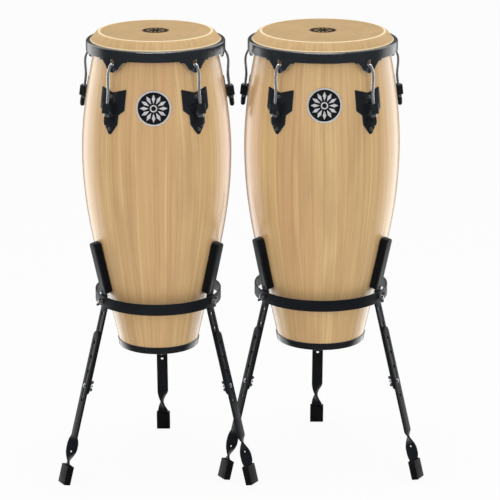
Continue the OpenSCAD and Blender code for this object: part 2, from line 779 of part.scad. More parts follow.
module leg_bolts(k) {
    color(SILVER) for (i = [0:LEG_COUNT - 1]) on_leg(k, i) translate([0, 0, -leg_bolt_s]) {
        rod_x(bolt_r, -bar_t - hub_h - LEG_BOLT_OUT, -SEAT);
        translate([head_x, 0, 0]) hex_head();
    }
}

module leg_nut(k, i) {
    color(SILVER) on_leg(k, i) translate([-bar_t - slide_gap, 0, -leg_bolt_s])
        rotate([0, 0, 180]) rotate([90, 0, 0]) wing_nut();
}

module lower_leg(k, i) {
    color(BLACK) on_leg(k, i) difference() {
        union() {
            translate([lower_x, 0, 0]) plate_x(bar_t) difference() {
                translate([-bar_w / 2, -twist_s - JOIN]) square([bar_w, twist_s + JOIN - lower_top_s]);
                translate([0, -lower_top_s]) end_corners(bar_w, bar_w / 2);
                for (j = [-1:LOWER_HOLES - 2]) translate([0, j * hole_pitch - leg_bolt_s])
                    circle(r = hole_d / 2);
            }
            translate([lower_mid_x, 0, -twist_end_s])
                linear_extrude(twist_len, twist = 180, slices = TWIST_SLICES, $fn = 4)
                    square([bar_t, bar_w], center = true);
            translate([lower_x, 0, 0]) plate_x(bar_t)
                translate([-bar_w / 2, -bar_end_s]) square([bar_w, bar_end_s - twist_end_s + JOIN]);
        }
        translate([lower_mid_x, 0, -twist_s - twist_len / 2]) rotate([0, 0, 90])
            rod_x(twist_hole_d / 2, -bar_w, bar_w);
    }
}

module boot(k, i) {
    mouth = 9.6;
    mouth_deep = 5;
    slot = [bar_t + 2 * seat_gap, bar_w + 2 * seat_gap, boot_h];
    below = 2 * foot_reach(k);
    color(RUBBER) difference() {
        on_leg(k, i) translate([lower_mid_x, 0, -boot_end_s]) difference() {
            translate([-boot_t / 2, -boot_w / 2, 0]) cube([boot_t, boot_w, boot_h]);
            translate([-slot.x / 2, -slot.y / 2, SOLE - SEAT]) cube(slot);
            translate([-mouth / 2, -slot.y / 2 - SEAT, boot_h - mouth_deep])
                cube([mouth, slot.y + 2 * SEAT, boot_h]);
        }
        translate(PLACE[k] - [below, below, boot_h]) cube([2 * below, 2 * below, boot_h]);
    }
}

shell(SMALL);  // small_shell
base_ring(SMALL);  // small_base_ring
head(SMALL);  // small_head
head_hoop(SMALL);  // small_head_hoop
rim(SMALL);  // small_rim
tension_hooks(SMALL);  // small_tension_hooks
tuning_washers(SMALL);  // small_tuning_washers
tuning_nuts(SMALL);  // small_tuning_nuts
lug_plates(SMALL);  // small_lug_plates
lug_bolts(SMALL);  // small_lug_bolts
backing_plates(SMALL);  // small_backing_plates
badge_bezel(SMALL);  // small_badge_bezel
badge_disc(SMALL);  // small_badge_disc
ring(SMALL);  // small_ring
uprights(SMALL);  // small_uprights
pads(SMALL);  // small_pads
ring_bolts(SMALL);  // small_ring_bolts
leg_bolts(SMALL);  // small_leg_bolts
ring_nut(SMALL, 0);  // small_ring_nut_rear
ring_nut(SMALL, 1);  // small_ring_nut_left
ring_nut(SMALL, 2);  // small_ring_nut_right
leg_nut(SMALL, 0);  // small_leg_nut_rear
leg_nut(SMALL, 1);  // small_leg_nut_left
leg_nut(SMALL, 2);  // small_leg_nut_right
lower_leg(SMALL, 0);  // small_lower_leg_rear
lower_leg(SMALL, 1);  // small_lower_leg_left
lower_leg(SMALL, 2);  // small_lower_leg_right
boot(SMALL, 0);  // small_boot_rear
boot(SMALL, 1);  // small_boot_left
boot(SMALL, 2);  // small_boot_right
shell(LARGE);  // large_shell
base_ring(LARGE);  // large_base_ring
head(LARGE);  // large_head
head_hoop(LARGE);  // large_head_hoop
rim(LARGE);  // large_rim
tension_hooks(LARGE);  // large_tension_hooks
tuning_washers(LARGE);  // large_tuning_washers
tuning_nuts(LARGE);  // large_tuning_nuts
lug_plates(LARGE);  // large_lug_plates
lug_bolts(LARGE);  // large_lug_bolts
backing_plates(LARGE);  // large_backing_plates
badge_bezel(LARGE);  // large_badge_bezel
badge_disc(LARGE);  // large_badge_disc
ring(LARGE);  // large_ring
uprights(LARGE);  // large_uprights
pads(LARGE);  // large_pads
ring_bolts(LARGE);  // large_ring_bolts
leg_bolts(LARGE);  // large_leg_bolts
ring_nut(LARGE, 0);  // large_ring_nut_rear
ring_nut(LARGE, 1);  // large_ring_nut_left
ring_nut(LARGE, 2);  // large_ring_nut_right
leg_nut(LARGE, 0);  // large_leg_nut_rear
leg_nut(LARGE, 1);  // large_leg_nut_left
leg_nut(LARGE, 2);  // large_leg_nut_right
lower_leg(LARGE, 0);  // large_lower_leg_rear
lower_leg(LARGE, 1);  // large_lower_leg_left
lower_leg(LARGE, 2);  // large_lower_leg_right
boot(LARGE, 0);  // large_boot_rear
boot(LARGE, 1);  // large_boot_left
boot(LARGE, 2);  // large_boot_right
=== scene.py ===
"""Looks of a pair of conga drums in their basket stands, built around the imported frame.

Everything is in metres, +Z up, with the fronts of the drums facing -Y.
"""

import json
from math import acos, atan, atan2, cos, degrees, pi, radians, sin, sqrt, tan

import bmesh
import bpy
from bpy.props import FloatProperty, FloatVectorProperty, IntProperty, PointerProperty
from mathutils import Matrix, Vector

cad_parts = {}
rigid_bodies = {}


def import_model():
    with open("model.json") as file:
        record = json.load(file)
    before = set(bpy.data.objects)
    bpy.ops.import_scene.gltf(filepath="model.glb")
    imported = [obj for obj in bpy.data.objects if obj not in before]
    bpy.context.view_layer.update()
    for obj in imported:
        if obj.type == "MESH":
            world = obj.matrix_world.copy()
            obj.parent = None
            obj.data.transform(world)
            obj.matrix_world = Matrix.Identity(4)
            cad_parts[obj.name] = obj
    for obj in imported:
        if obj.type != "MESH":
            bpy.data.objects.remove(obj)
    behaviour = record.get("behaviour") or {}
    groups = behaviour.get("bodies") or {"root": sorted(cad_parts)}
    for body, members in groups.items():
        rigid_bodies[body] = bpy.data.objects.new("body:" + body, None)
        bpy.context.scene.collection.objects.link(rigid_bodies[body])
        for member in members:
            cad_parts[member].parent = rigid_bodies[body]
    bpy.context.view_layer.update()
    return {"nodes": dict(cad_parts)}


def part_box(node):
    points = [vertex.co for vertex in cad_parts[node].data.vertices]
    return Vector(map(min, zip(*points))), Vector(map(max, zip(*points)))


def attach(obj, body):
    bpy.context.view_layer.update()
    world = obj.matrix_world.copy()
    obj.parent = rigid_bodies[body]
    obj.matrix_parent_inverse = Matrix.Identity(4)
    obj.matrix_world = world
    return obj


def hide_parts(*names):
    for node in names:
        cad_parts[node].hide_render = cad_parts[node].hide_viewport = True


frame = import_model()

bl_info = {
    "name": "Conga drums",
    "version": (1, 0, 0),
    "blender": (4, 5, 0),
    "location": "3D View > Sidebar > Congas",
    "description": "Builds the staves, skins, hardware and basket stands of a pair of congas",
    "category": "Add Mesh",
}

MM = 0.001
SIZES = ("small", "large")
SIDES = {"rear": 90, "left": 210, "right": 330}
FRONT = 270


def length(name, description, default):
    return FloatProperty(name=name, description=description, default=default * MM, unit="LENGTH")


def angle(name, description, default):
    return FloatProperty(name=name, description=description, default=radians(default), subtype="ANGLE")


def power(name, description, default):
    return FloatProperty(name=name, description=description, default=default, unit="POWER")


def number(name, description, default):
    return FloatProperty(name=name, description=description, default=default)


def colour(name, description, default):
    return FloatVectorProperty(name=name, description=description, default=default, subtype="COLOR",
                               size=3, min=0, max=1)


class CONGA_PG_drum(bpy.types.PropertyGroup):
    """Sizes of the drums' pieces"""

    small_foot_r: length("Small foot radius", "Radius of the small shell's wood at its foot", 86.5)
    large_foot_r: length("Large foot radius", "Radius of the large shell's wood at its foot", 96)
    wall_t: length("Wall", "Thickness of the staves", 10)
    belly_z: length("Belly height", "Height of the widest place above the foot", 445)
    staves: IntProperty(name="Staves", description="Number of staves round a shell", default=20)
    lugs: IntProperty(name="Lugs", description="Number of lugs round a shell", default=5)
    skin_t: length("Skin", "Thickness of the rawhide", 2.5)
    hoop_r: length("Hoop", "Radius of the steel hoop in the skin's collar", 3)
    rim_h: length("Rim band", "Height of the rim's band", 23)
    rim_t: length("Rim steel", "Thickness of the rim's steel", 3)
    ear_w: length("Ear width", "Width of an ear where it meets the band", 70)
    ear_len: length("Ear length", "Length of an ear below the band", 27)
    hook_r: length("Hook", "Radius of a tension hook's rod", 3.25)
    bracket_drop: length("Bracket drop", "Distance from the playing surface to a bracket's middle", 145)
    badge_z: length("Badge height", "Height of the badge's middle above the foot", 572)
    badge_r: length("Badge radius", "Radius over the badge's silver ring", 37.5)


class CONGA_PG_stand(bpy.types.PropertyGroup):
    """Sizes of the basket stands"""

    bar_w: length("Bar width", "Width of the flat bar", 25)
    bar_t: length("Bar thickness", "Thickness of the flat bar", 4)
    ring_t: length("Ring", "Thickness of the ring's steel", 3)
    pad_t: length("Pad", "Thickness of a rubber pad", 14)
    pad_z: length("Pad height", "Height of a pad's lower end above the drum's foot", 122)
    pad_len: length("Pad length", "Length of the seat of a pad", 134)
    tail_len: length("Tail", "Length of an upright below the ring's middle", 215)
    hole_pitch: length("Hole pitch", "Distance between the holes that set the height", 33.5)
    hole_r: length("Hole radius", "Radius of the holes that set the height", 3.5)
    leg_bolt_s: length("Leg bolt", "Distance from the ring's middle down to the leg bolt", 196)
    lower_top_s: length("Leg top", "Distance from the ring's middle down to a leg's top", 70)
    twist_s: length("Twist start", "Distance from the ring's middle down to the twist", 314)
    twist_len: length("Twist", "Length of the half twist", 71)
    boot_w: length("Boot width", "Width of a rubber boot", 31)
    boot_t: length("Boot thickness", "Thickness of a rubber boot", 16)
    boot_h: length("Boot length", "Length of a rubber boot", 43)
    boot_press: length("Boot press", "How far the floor flattens a boot's edge", 1.2)
    leg_lean: angle("Lean", "Outward lean of the legs", 14.7)


class CONGA_PG_finish(bpy.types.PropertyGroup):
    """Colours of the finishes"""

    wood_light: colour("Light stave", "Colour of the yellow staves", (0.715, 0.495, 0.232))
    wood_dark: colour("Dark stave", "Colour of the red staves", (0.635, 0.368, 0.170))
    skin: colour("Skin", "Colour of the rawhide", (0.50, 0.335, 0.165))
    # Colour of a painted highlight, laid as pale lines on the skin's shoulder and at the foot of its collar
    skin_highlight: colour("Skin edge", "Colour of the rawhide where it is rubbed pale", (0.98, 0.84, 0.55))
    black: colour("Powder coat", "Colour of the coated steel", (0.0085, 0.0105, 0.013))
    rubber: colour("Rubber", "Colour of the pads and boots", (0.0045, 0.0045, 0.005))
    silver: colour("Plating", "Colour of the plated steel", (0.66, 0.66, 0.68))


class CONGA_PG_stage(bpy.types.PropertyGroup):
    """Camera and lamps"""

    camera_x: length("Camera side", "Sideways place of the camera", 19)
    camera_y: length("Camera distance", "Distance of the camera in front of the origin", 5408)
    camera_z: length("Camera height", "Height of the camera", 2046)
    camera_dip: angle("Camera dip", "Downward tilt of the camera", 16.06)
    lens: number("Lens", "Focal length in millimetres", 180)
    ambient: number("Ambient", "Strength of the even light", 0.72)
    gloss_front: number("Front gloss", "Brightness of the room before the drums in gloss", 0.06)
    gloss_back: number("Back gloss", "Brightness of the room behind the drums in gloss", 1.55)
    front_power: power("Front lamps", "Power of each front lamp", 18)
    edge_power: power("Edge lamps", "Power of each tall lamp behind", 17)
    top_power: power("Top lamp", "Power of the overhead lamp", 9)
    glint_power: power("Glint lamps", "Power of each lamp that only lights a rim", 22)


def drum_sizes():
    return bpy.context.scene.conga_drum


def stand_sizes():
    return bpy.context.scene.conga_stand


def finish():
    return bpy.context.scene.conga_finish


# Places, curves and outlines

def shift(x, y, z):
    return Matrix.Translation((x, y, z))


def turn_z(angle):
    return Matrix.Rotation(radians(angle), 4, "Z")


ALONG_X = Matrix.Rotation(pi / 2, 4, "Y")
FACE_X = Matrix(((0, 0, 1), (1, 0, 0), (0, 1, 0))).to_4x4()


def arc(x, z, r, start, end, steps):
    """Points on an arc, with its angles in degrees."""
    turns = [radians(start + (end - start) * i / steps) for i in range(steps + 1)]
    return [(x + r * cos(a), z + r * sin(a)) for a in turns]


def bezier(points, t):
    a, b, c, d = (Vector(p) for p in points)
    return (1 - t) ** 3 * a + 3 * (1 - t) ** 2 * t * b + 3 * (1 - t) * t * t * c + t ** 3 * d


def lookup(table, x):
    """The value at x on a table of (x, value) pairs in rising order."""
    for (x0, y0), (x1, y1) in zip(table, table[1:]):
        if x <= x1:
            return y0 + (x - x0) * (y1 - y0) / (x1 - x0)
    return table[-1][1]


# Clearances, as in the frame
HAIR_GAP = 0.05 * MM
THREAD_GAP = 0.08 * MM
SEAT_GAP = 0.1 * MM
SLIDE_GAP = 0.3 * MM

# Shape of the shells, as in the frame
BASE_LIP = 3 * MM
FOOT_FLARE = 0.2
CROWN_TAPER = 0.22
FOOT_HANDLE = 147 * MM
BELLY_HANDLE_DOWN = 175 * MM
BELLY_HANDLE_UP = 85 * MM
CROWN_HANDLE = 80 * MM
CROWN_IN = 0.5 * MM
CURVE_STEPS = 24

# Shape of the skin's collar and of the rim
SHOULDER_R = 5 * MM
SHOULDER_OUT = 2.5 * MM
HOOP_IN = 2 * MM
COLLAR_SLOPE = 0.56
SKIN_GAP = 0.4 * MM
BEND_R = 10 * MM
EAR_LIP = 15 * MM

# Distance from the ring's edge to a bend of an upright
BEND_MARGIN = 1.5 * MM


class Drum:
    """Places and radii of one drum and its stand, read from the frame."""

    def __init__(self, size):
        d = drum_sizes()
        s = stand_sizes()
        self.size = size
        low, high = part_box(f"{size}_head")
        self.x = (low.x + high.x) / 2
        self.y = (low.y + high.y) / 2
        self.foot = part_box(f"{size}_base_ring")[0].z
        self.height = high.z - self.foot
        self.foot_r = d.small_foot_r if size == "small" else d.large_foot_r
        low_shell, high_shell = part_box(f"{size}_shell")
        self.belly_r = (high_shell.x - low_shell.x) / 2
        self.wood_top = high_shell.z - self.foot
        self.fold_r = d.hoop_r + d.skin_t
        self.hoop_ring_r = (high.x - low.x) / 2 - self.fold_r
        self.hoop_z = low.z - self.foot + self.fold_r
        fall = self.height - self.hoop_z
        self.head_r = self.hoop_ring_r + HOOP_IN - SHOULDER_OUT - COLLAR_SLOPE * fall
        run = Vector((self.hoop_ring_r - self.head_r + SHOULDER_R - SHOULDER_OUT, SHOULDER_R - fall))
        self.collar_turn = atan2(run.y, run.x) + acos((SHOULDER_R - self.fold_r) / run.length)
        low_rim, high_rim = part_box(f"{size}_rim")
        self.rim_top = high_rim.z - self.foot
        self.rim_r = self.hoop_ring_r + self.fold_r + d.rim_t + SKIN_GAP
        self.ear_lip = low_rim.z - self.foot + EAR_LIP
        low_ring, high_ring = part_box(f"{size}_ring")
        self.ring_z = (low_ring.z + high_ring.z) / 2
        self.ring_h = high_ring.z - low_ring.z
        self.ring_outer = (high_ring.x - low_ring.x) / 2
        self.ring_inner = self.ring_outer - s.ring_t
        self.bar_face = sqrt((self.ring_inner - SEAT_GAP) ** 2 - (s.bar_w / 2) ** 2)
        self.leg_middle = SLIDE_GAP + s.bar_t / 2
        self.bend_up = self.ring_z + self.ring_h / 2 + BEND_MARGIN
        self.bend_down = self.ring_z - self.ring_h / 2 - BEND_MARGIN
        self.bracket_z = self.height - d.bracket_drop
        self.curve = self.shell_curve()
        self.heights = [(p.y, p.x) for p in self.curve]

    def shell_curve(self):
        """The outside of the wood from its foot to its crown, as (radius, height)."""
        belly_z = drum_sizes().belly_z
        crown_r = self.head_r - CROWN_IN
        lower = [(self.foot_r, BASE_LIP), (self.foot_r + FOOT_FLARE * FOOT_HANDLE, BASE_LIP + FOOT_HANDLE),
                 (self.belly_r, belly_z - BELLY_HANDLE_DOWN), (self.belly_r, belly_z)]
        upper = [(self.belly_r, belly_z), (self.belly_r, belly_z + BELLY_HANDLE_UP),
                 (crown_r + CROWN_TAPER * CROWN_HANDLE, self.wood_top - CROWN_HANDLE),
                 (crown_r, self.wood_top)]
        steps = [i / CURVE_STEPS for i in range(CURVE_STEPS + 1)]
        return [bezier(lower, t) for t in steps] + [bezier(upper, t) for t in steps[1:]]

    def shell_r(self, z):
        return lookup(self.heights, z)

    def collar_r(self, z):
        """Outside of the skin's sloping collar at a height."""
        fold = self.fold_r - (z - self.hoop_z) * sin(self.collar_turn)
        return self.hoop_ring_r + fold / cos(self.collar_turn)

    def tilt(self, z):
        """Lean of the wood's face at a height, positive where it opens upwards."""
        step = 5 * MM
        return atan((self.shell_r(z + step) - self.shell_r(z - step)) / (2 * step))

    def frame(self):
        return shift(self.x, self.y, self.foot)

    def on_shell(self, azimuth, z):
        """+X out of the wood, +Z up along it."""
        return (self.frame() @ turn_z(azimuth)
                @ shift(self.shell_r(z), 0, z) @ Matrix.Rotation(self.tilt(z), 4, "Y"))

    def lug_azimuths(self):
        count = drum_sizes().lugs
        return [FRONT + (i + 0.5) * 360 / count for i in range(count)]

    def on_axis(self, azimuth, z):
        """The stand's frame, turned to an azimuth, at a height above the floor."""
        return shift(self.x, self.y, z) @ turn_z(azimuth)

    def on_leg(self, azimuth):
        """+X out of a tail's outer face, z = -s below the ring's middle."""
        return (self.on_axis(azimuth, self.bend_down) @ shift(self.bar_face, 0, 0)
                @ Matrix.Rotation(-stand_sizes().leg_lean, 4, "Y")
                @ shift(0, 0, self.ring_z - self.bend_down))


# Mesh tools

def lathe(bm, outline, steps, closed=True):
    """Spins an outline of (radius, height) points a full turn about Z."""
    before = set(bm.faces)
    verts = [bm.verts.new((r, 0, z)) for r, z in outline]
    ends = verts[1:] + verts[:1] if closed else verts[1:]
    edges = [bm.edges.new(pair) for pair in zip(verts, ends)]
    bmesh.ops.spin(bm, geom=verts + edges, cent=(0, 0, 0), axis=(0, 0, 1), angle=2 * pi, steps=steps,
                   use_merge=True)
    bmesh.ops.remove_doubles(bm, verts=bm.verts, dist=1e-6)
    faces = [f for f in bm.faces if f not in before]
    bmesh.ops.recalc_face_normals(bm, faces=faces)
    return faces


def bevel(bm, geom, width, segments, affect="EDGES", clamp=False):
    bmesh.ops.bevel(bm, geom=geom, offset=width, offset_type="OFFSET", segments=segments, profile=0.5,
                    affect=affect, material=-1, clamp_overlap=clamp)


def fix_normals(bm):
    bmesh.ops.recalc_face_normals(bm, faces=bm.faces)


def rounded_face(bm, points, rounds):
    """A flat face in the XZ plane whose corners are rounded: rounds maps a radius to corner numbers."""
    verts = [bm.verts.new((x, 0, z)) for x, z in points]
    bm.faces.new(verts)
    for radius, corners in rounds.items():
        bevel(bm, [verts[i] for i in corners], radius, 4, "VERTICES")
    return bm.faces[:]


def turned(points, rounds, steps):
    """A ring whose section has rounded corners."""
    bm = bmesh.new()
    rounded_face(bm, points, rounds)
    bmesh.ops.delete(bm, geom=bm.faces[:], context="FACES_ONLY")
    bmesh.ops.spin(bm, geom=bm.verts[:] + bm.edges[:], cent=(0, 0, 0), axis=(0, 0, 1), angle=2 * pi,
                   steps=steps, use_merge=True)
    bmesh.ops.remove_doubles(bm, verts=bm.verts, dist=1e-6)
    fix_normals(bm)
    return bm


def bevel_sharp(bm, width, segments=2, limit=40, faces=None):
    """Rounds the edges that turn by more than limit degrees, of every face or of a set of faces."""
    sharp = [e for e in bm.edges if len(e.link_faces) == 2 and e.calc_face_angle(0) > radians(limit)
             and (faces is None or faces.intersection(e.link_faces))]
    bevel(bm, sharp, width, segments, clamp=True)


def hole_side(holes):
    """The right-hand half of each hole (z, radius, stretch) on the middle line, from the lowest up."""
    points = []
    for z, r, stretch in sorted(holes):
        points += arc(0, z - stretch, r, -90, 0, 6) + arc(0, z + stretch, r, 0, 90, 6)
    return points


def plate(right_side, holes, thickness, edge):
    """A flat plate in the YZ plane, mirrored about Z, with holes on its middle line and rounded edges.

    right_side runs from the top of the middle line down to the foot of it, as (y, z) points.
    The plate fills x = 0 to thickness.
    """
    bm = bmesh.new()
    outline = right_side + hole_side(holes)
    clean = [p for i, p in enumerate(outline) if (Vector(p) - Vector(outline[i - 1])).length > 1e-6]
    face = bm.faces.new([bm.verts.new((0, y, z)) for y, z in clean])
    raise_faces(bm, [face], (thickness, 0, 0))
    middle = [f for f in bm.faces if all(abs(v.co.y) < 1e-7 for v in f.verts)]
    bmesh.ops.delete(bm, geom=middle, context="FACES")
    bmesh.ops.mirror(bm, geom=bm.verts[:] + bm.edges[:] + bm.faces[:], matrix=Matrix(), merge_dist=1e-6,
                     axis="Y")
    bmesh.ops.remove_doubles(bm, verts=bm.verts, dist=1e-6)
    fix_normals(bm)
    if edge:
        bevel_sharp(bm, edge)
    return bm


def move(bm, matrix):
    bmesh.ops.transform(bm, matrix=matrix, verts=bm.verts)


def raise_faces(bm, faces, by):
    """Extrudes flat faces along a vector."""
    raised = bmesh.ops.extrude_face_region(bm, geom=faces)["geom"]
    bmesh.ops.translate(bm, verts=[g for g in raised if isinstance(g, bmesh.types.BMVert)], vec=by)


def slice_at(bm, axis, places):
    """Cuts every face at planes across an axis, so that the mesh can bend there."""
    normal = [0, 0, 0]
    normal["XYZ".index(axis)] = 1
    for place in places:
        bmesh.ops.bisect_plane(bm, geom=bm.verts[:] + bm.edges[:] + bm.faces[:], dist=1e-7,
                               plane_co=[place * n for n in normal], plane_no=normal)


def span(low, high, step):
    """Evenly spaced places between two limits, without the limits."""
    count = max(1, round((high - low) / step))
    return [low + (high - low) * i / count for i in range(1, count)]


def wrap(bm, drum, z):
    """Lays a flat plate on the wood: x is the distance from the wood, y runs round, z up from a height."""
    for v in bm.verts:
        r = drum.shell_r(z + v.co.z) + v.co.x
        v.co = Vector((sqrt(max(r * r - v.co.y ** 2, 0)), v.co.y, z + v.co.z))


def sweep(bm, stations, sides):
    """A round rod along stations in the XZ plane: each is (x, z, direction in radians, radius)."""
    def station_frame(station):
        x, z, direction, radius = station
        along = Vector((cos(direction), 0, sin(direction)))
        across = Vector((-sin(direction), 0, cos(direction)))
        turn = Matrix((across, Vector((0, -1, 0)), along)).transposed().to_4x4()
        return shift(x, 0, z) @ turn @ Matrix.Diagonal((radius, radius, 1, 1))

    before = set(bm.faces)
    here = station_frame(stations[0])
    start = bmesh.ops.create_circle(bm, cap_ends=True, segments=sides, radius=1, matrix=here)["verts"]
    ring = list(dict.fromkeys(e for v in start for e in v.link_edges))
    for station in stations[1:]:
        there = station_frame(station)
        made = bmesh.ops.extrude_edge_only(bm, edges=ring)["geom"]
        verts = [g for g in made if isinstance(g, bmesh.types.BMVert)]
        ring = [g for g in made if isinstance(g, bmesh.types.BMEdge)]
        bmesh.ops.transform(bm, matrix=there @ here.inverted(), verts=verts)
        here = there
    bmesh.ops.contextual_create(bm, geom=ring)
    bmesh.ops.recalc_face_normals(bm, faces=[f for f in bm.faces if f not in before])


def join(target, bm, matrix=None):
    """Adds a copy of one mesh to another, placed by a matrix."""
    mesh = bpy.data.meshes.new("part")
    bm.to_mesh(mesh)
    if matrix is not None:
        mesh.transform(matrix)
    target.from_mesh(mesh)
    bpy.data.meshes.remove(mesh)


def copies(bm, places):
    """One mesh with a copy of another at each place."""
    joined = bmesh.new()
    for place in places:
        join(joined, bm, place)
    bm.free()
    return joined


def piece(drum, name, bm, paint, body, node=None, smooth=35):
    """Makes an object of a finished mesh and ties it to its body, slot and CAD node, named for their drum."""
    mesh = bpy.data.meshes.new(f"{drum.size}_{name}")
    bm.to_mesh(mesh)
    bm.free()
    mesh.shade_smooth()
    mesh.set_sharp_from_angle(angle=radians(smooth))
    mesh.materials.append(paint)
    obj = bpy.data.objects.new(f"{drum.size}_{name}", mesh)
    bpy.context.scene.collection.objects.link(obj)
    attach(obj, body if body == "root" else f"{drum.size}_{body}")
    if node:
        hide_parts(f"{drum.size}_{node}")
    return obj


# Materials

class Nodes:
    """Short forms for building a material's node tree."""

    def __init__(self, name="", tree=None):
        self.tree = tree
        if not tree:
            self.material = bpy.data.materials.new(name)
            self.material.use_nodes = True
            self.tree = self.material.node_tree
            self.shader = self.tree.nodes["Principled BSDF"]

    def set(self, **values):
        """Sets the shader's own sockets: underscores in a name stand for spaces."""
        for name, value in values.items():
            socket = self.shader.inputs[name.replace("_", " ")]
            if isinstance(value, bpy.types.NodeSocket):
                self.tree.links.new(value, socket)
            else:
                socket.default_value = value

    def node(self, kind, inputs=None, **settings):
        made = self.tree.nodes.new("ShaderNode" + kind)
        for name, value in settings.items():
            setattr(made, name, value)
        for name, value in (inputs or {}).items():
            if isinstance(value, bpy.types.NodeSocket):
                self.tree.links.new(value, made.inputs[name])
            else:
                made.inputs[name].default_value = value
        return made

    def math(self, operation, a, b=0.0, clamp=False):
        return self.node("Math", {0: a, 1: b}, operation=operation, use_clamp=clamp).outputs[0]

    def add(self, a, b):
        return self.math("ADD", a, b)

    def sub(self, a, b):
        return self.math("SUBTRACT", a, b)

    def mul(self, a, b):
        return self.math("MULTIPLY", a, b)

    def polar(self, place):
        """Distance from the axis, angle round it and height of a place."""
        x, y, z = self.node("SeparateXYZ", {0: place}).outputs
        return self.math("SQRT", self.add(self.mul(x, x), self.mul(y, y))), self.math("ARCTAN2", y, x), z

    def place(self, centre=(0, 0, 0), scale=(1, 1, 1)):
        """Object coordinates with their zero moved to a centre."""
        where = self.node("TexCoord").outputs["Object"]
        moved = self.node("VectorMath", {0: where, 1: centre}, operation="SUBTRACT").outputs[0]
        return self.node("Mapping", {"Vector": moved, "Scale": scale}).outputs[0]

    def noise(self, vector, scale, detail=3.0, roughness=0.5):
        made = self.node("TexNoise", {"Vector": vector, "Scale": scale, "Detail": detail,
                                      "Roughness": roughness})
        return made.outputs[0]

    def ramp(self, value, low, high, to_low=0.0, to_high=1.0):
        """Maps low..high to to_low..to_high and clamps it."""
        made = self.node("MapRange", {"Value": value, "From Min": low, "From Max": high,
                                      "To Min": to_low, "To Max": to_high})
        return made.outputs[0]

    def mix(self, factor, a, b):
        made = self.node("Mix", data_type="RGBA")
        for socket, value in ((made.inputs[0], factor), (made.inputs[6], a), (made.inputs[7], b)):
            if isinstance(value, bpy.types.NodeSocket):
                self.tree.links.new(value, socket)
            else:
                socket.default_value = tuple(value) + (1,) if isinstance(value, (tuple, list)) else value
        return made.outputs[2]

    def pick(self, switch, off, on):
        """One of two numbers, as a switch of 0 or 1 says."""
        return self.node("Mix", {"Factor": switch, "A": off, "B": on}).outputs["Result"]

    def bump(self, height, strength, distance):
        made = self.node("Bump", {"Height": height, "Strength": strength, "Distance": distance})
        self.set(Normal=made.outputs[0])


def rgb(value):
    return tuple(value)[:3]


def shade(value, factor):
    return tuple(c * factor for c in rgb(value))


WOOD_SEEDS = {"small": 11.3, "large": 71.9}


def wood(drum):
    """Lacquered staves: each has its own tone, with fine grain, pores and a thin glue line."""
    n = Nodes(f"{drum.size}_staves")
    f = finish()
    count = drum_sizes().staves
    radius, angle, z = n.polar(n.place((drum.x, drum.y, drum.foot)))
    turn = n.mul(n.add(n.math("DIVIDE", angle, 2 * pi), 0.5), count)
    index = n.math("FLOOR", turn)
    across = n.sub(n.math("FRACT", turn), 0.5)
    side = n.mul(n.mul(across, 2 * pi / count), radius)
    seed = n.add(n.mul(index, 3.7), WOOD_SEEDS[drum.size])
    tone, lean = (n.node("TexWhiteNoise", {"W": w}, noise_dimensions="1D").outputs["Value"]
                  for w in (seed, n.add(seed, 40.5)))
    slope = n.mul(n.sub(lean, 0.5), 0.03)
    side = n.add(side, n.mul(z, slope))
    wobble = n.noise(n.node("CombineXYZ", {0: seed, 2: n.mul(z, 2.5)}).outputs[0], 1.0, 1.0)
    side = n.add(side, n.mul(wobble, 0.012))

    def streaks(across_scale, along_scale, detail, shift_y, roughness=0.55):
        vector = n.node("CombineXYZ", {0: n.mul(side, across_scale), 1: n.add(seed, shift_y),
                                       2: n.mul(z, along_scale)}).outputs[0]
        return n.noise(vector, 1.0, detail, roughness)

    broad = n.ramp(streaks(60, 0.9, 2.0, 0.0), 0.38, 0.62)
    lines = streaks(170, 1.5, 2.0, 5.0)
    fine = streaks(700, 5.0, 2.0, 7.0)
    pores = n.ramp(streaks(1500, 60.0, 1.0, 9.0), 0.64, 0.76)
    patch = streaks(18, 5.0, 3.0, 0.0, 0.5)
    glue = n.ramp(n.math("ABSOLUTE", across), 0.485, 0.497)
    cream = shade(f.wood_light, 1.16)
    brown = shade(f.wood_dark, 0.72)
    value = n.math("ADD", n.mul(tone, 0.5), n.mul(broad, 0.5), clamp=True)
    base = n.mix(value, rgb(f.wood_dark), rgb(f.wood_light))
    for share, tint in ((n.ramp(lines, 0.55, 0.69, 0.0, 0.68), cream),
                        (n.ramp(lines, 0.435, 0.29, 0.0, 0.46), brown),
                        (n.ramp(fine, 0.54, 0.72, 0.0, 0.3), cream),
                        (n.ramp(fine, 0.46, 0.28, 0.0, 0.3), brown),
                        (n.ramp(patch, 0.52, 0.34, 0.0, 0.3), brown),
                        (n.mul(pores, 0.28), shade(f.wood_dark, 0.5)),
                        (n.mul(glue, 0.4), shade(f.wood_dark, 0.55))):
        base = n.mix(share, base, tint)
    rough = n.add(0.28, n.mul(fine, 0.08))
    n.set(Base_Color=base, Roughness=rough, Coat_Weight=0.5, Coat_Roughness=0.16, IOR=1.5)
    n.bump(n.sub(fine, n.mul(pores, 0.6)), 0.08, 0.4 * MM)
    return n.material


# The sunburst, as shares of the radius of the badge's disc or of the print
RAYS = 12
RAY_IN = 0.30
RAY_WIDE = 0.62
RAY_OUT = 0.88
RAY_HALF = 0.115
PRINT_R = 30 * MM
PRINT_OUT = 0.76
PRINT_RAY = RAY_HALF / 2
PRINT_BAND = 0.93
PRINT_BAND_HALF = 0.012
INK = (0.006, 0.0055, 0.0055)


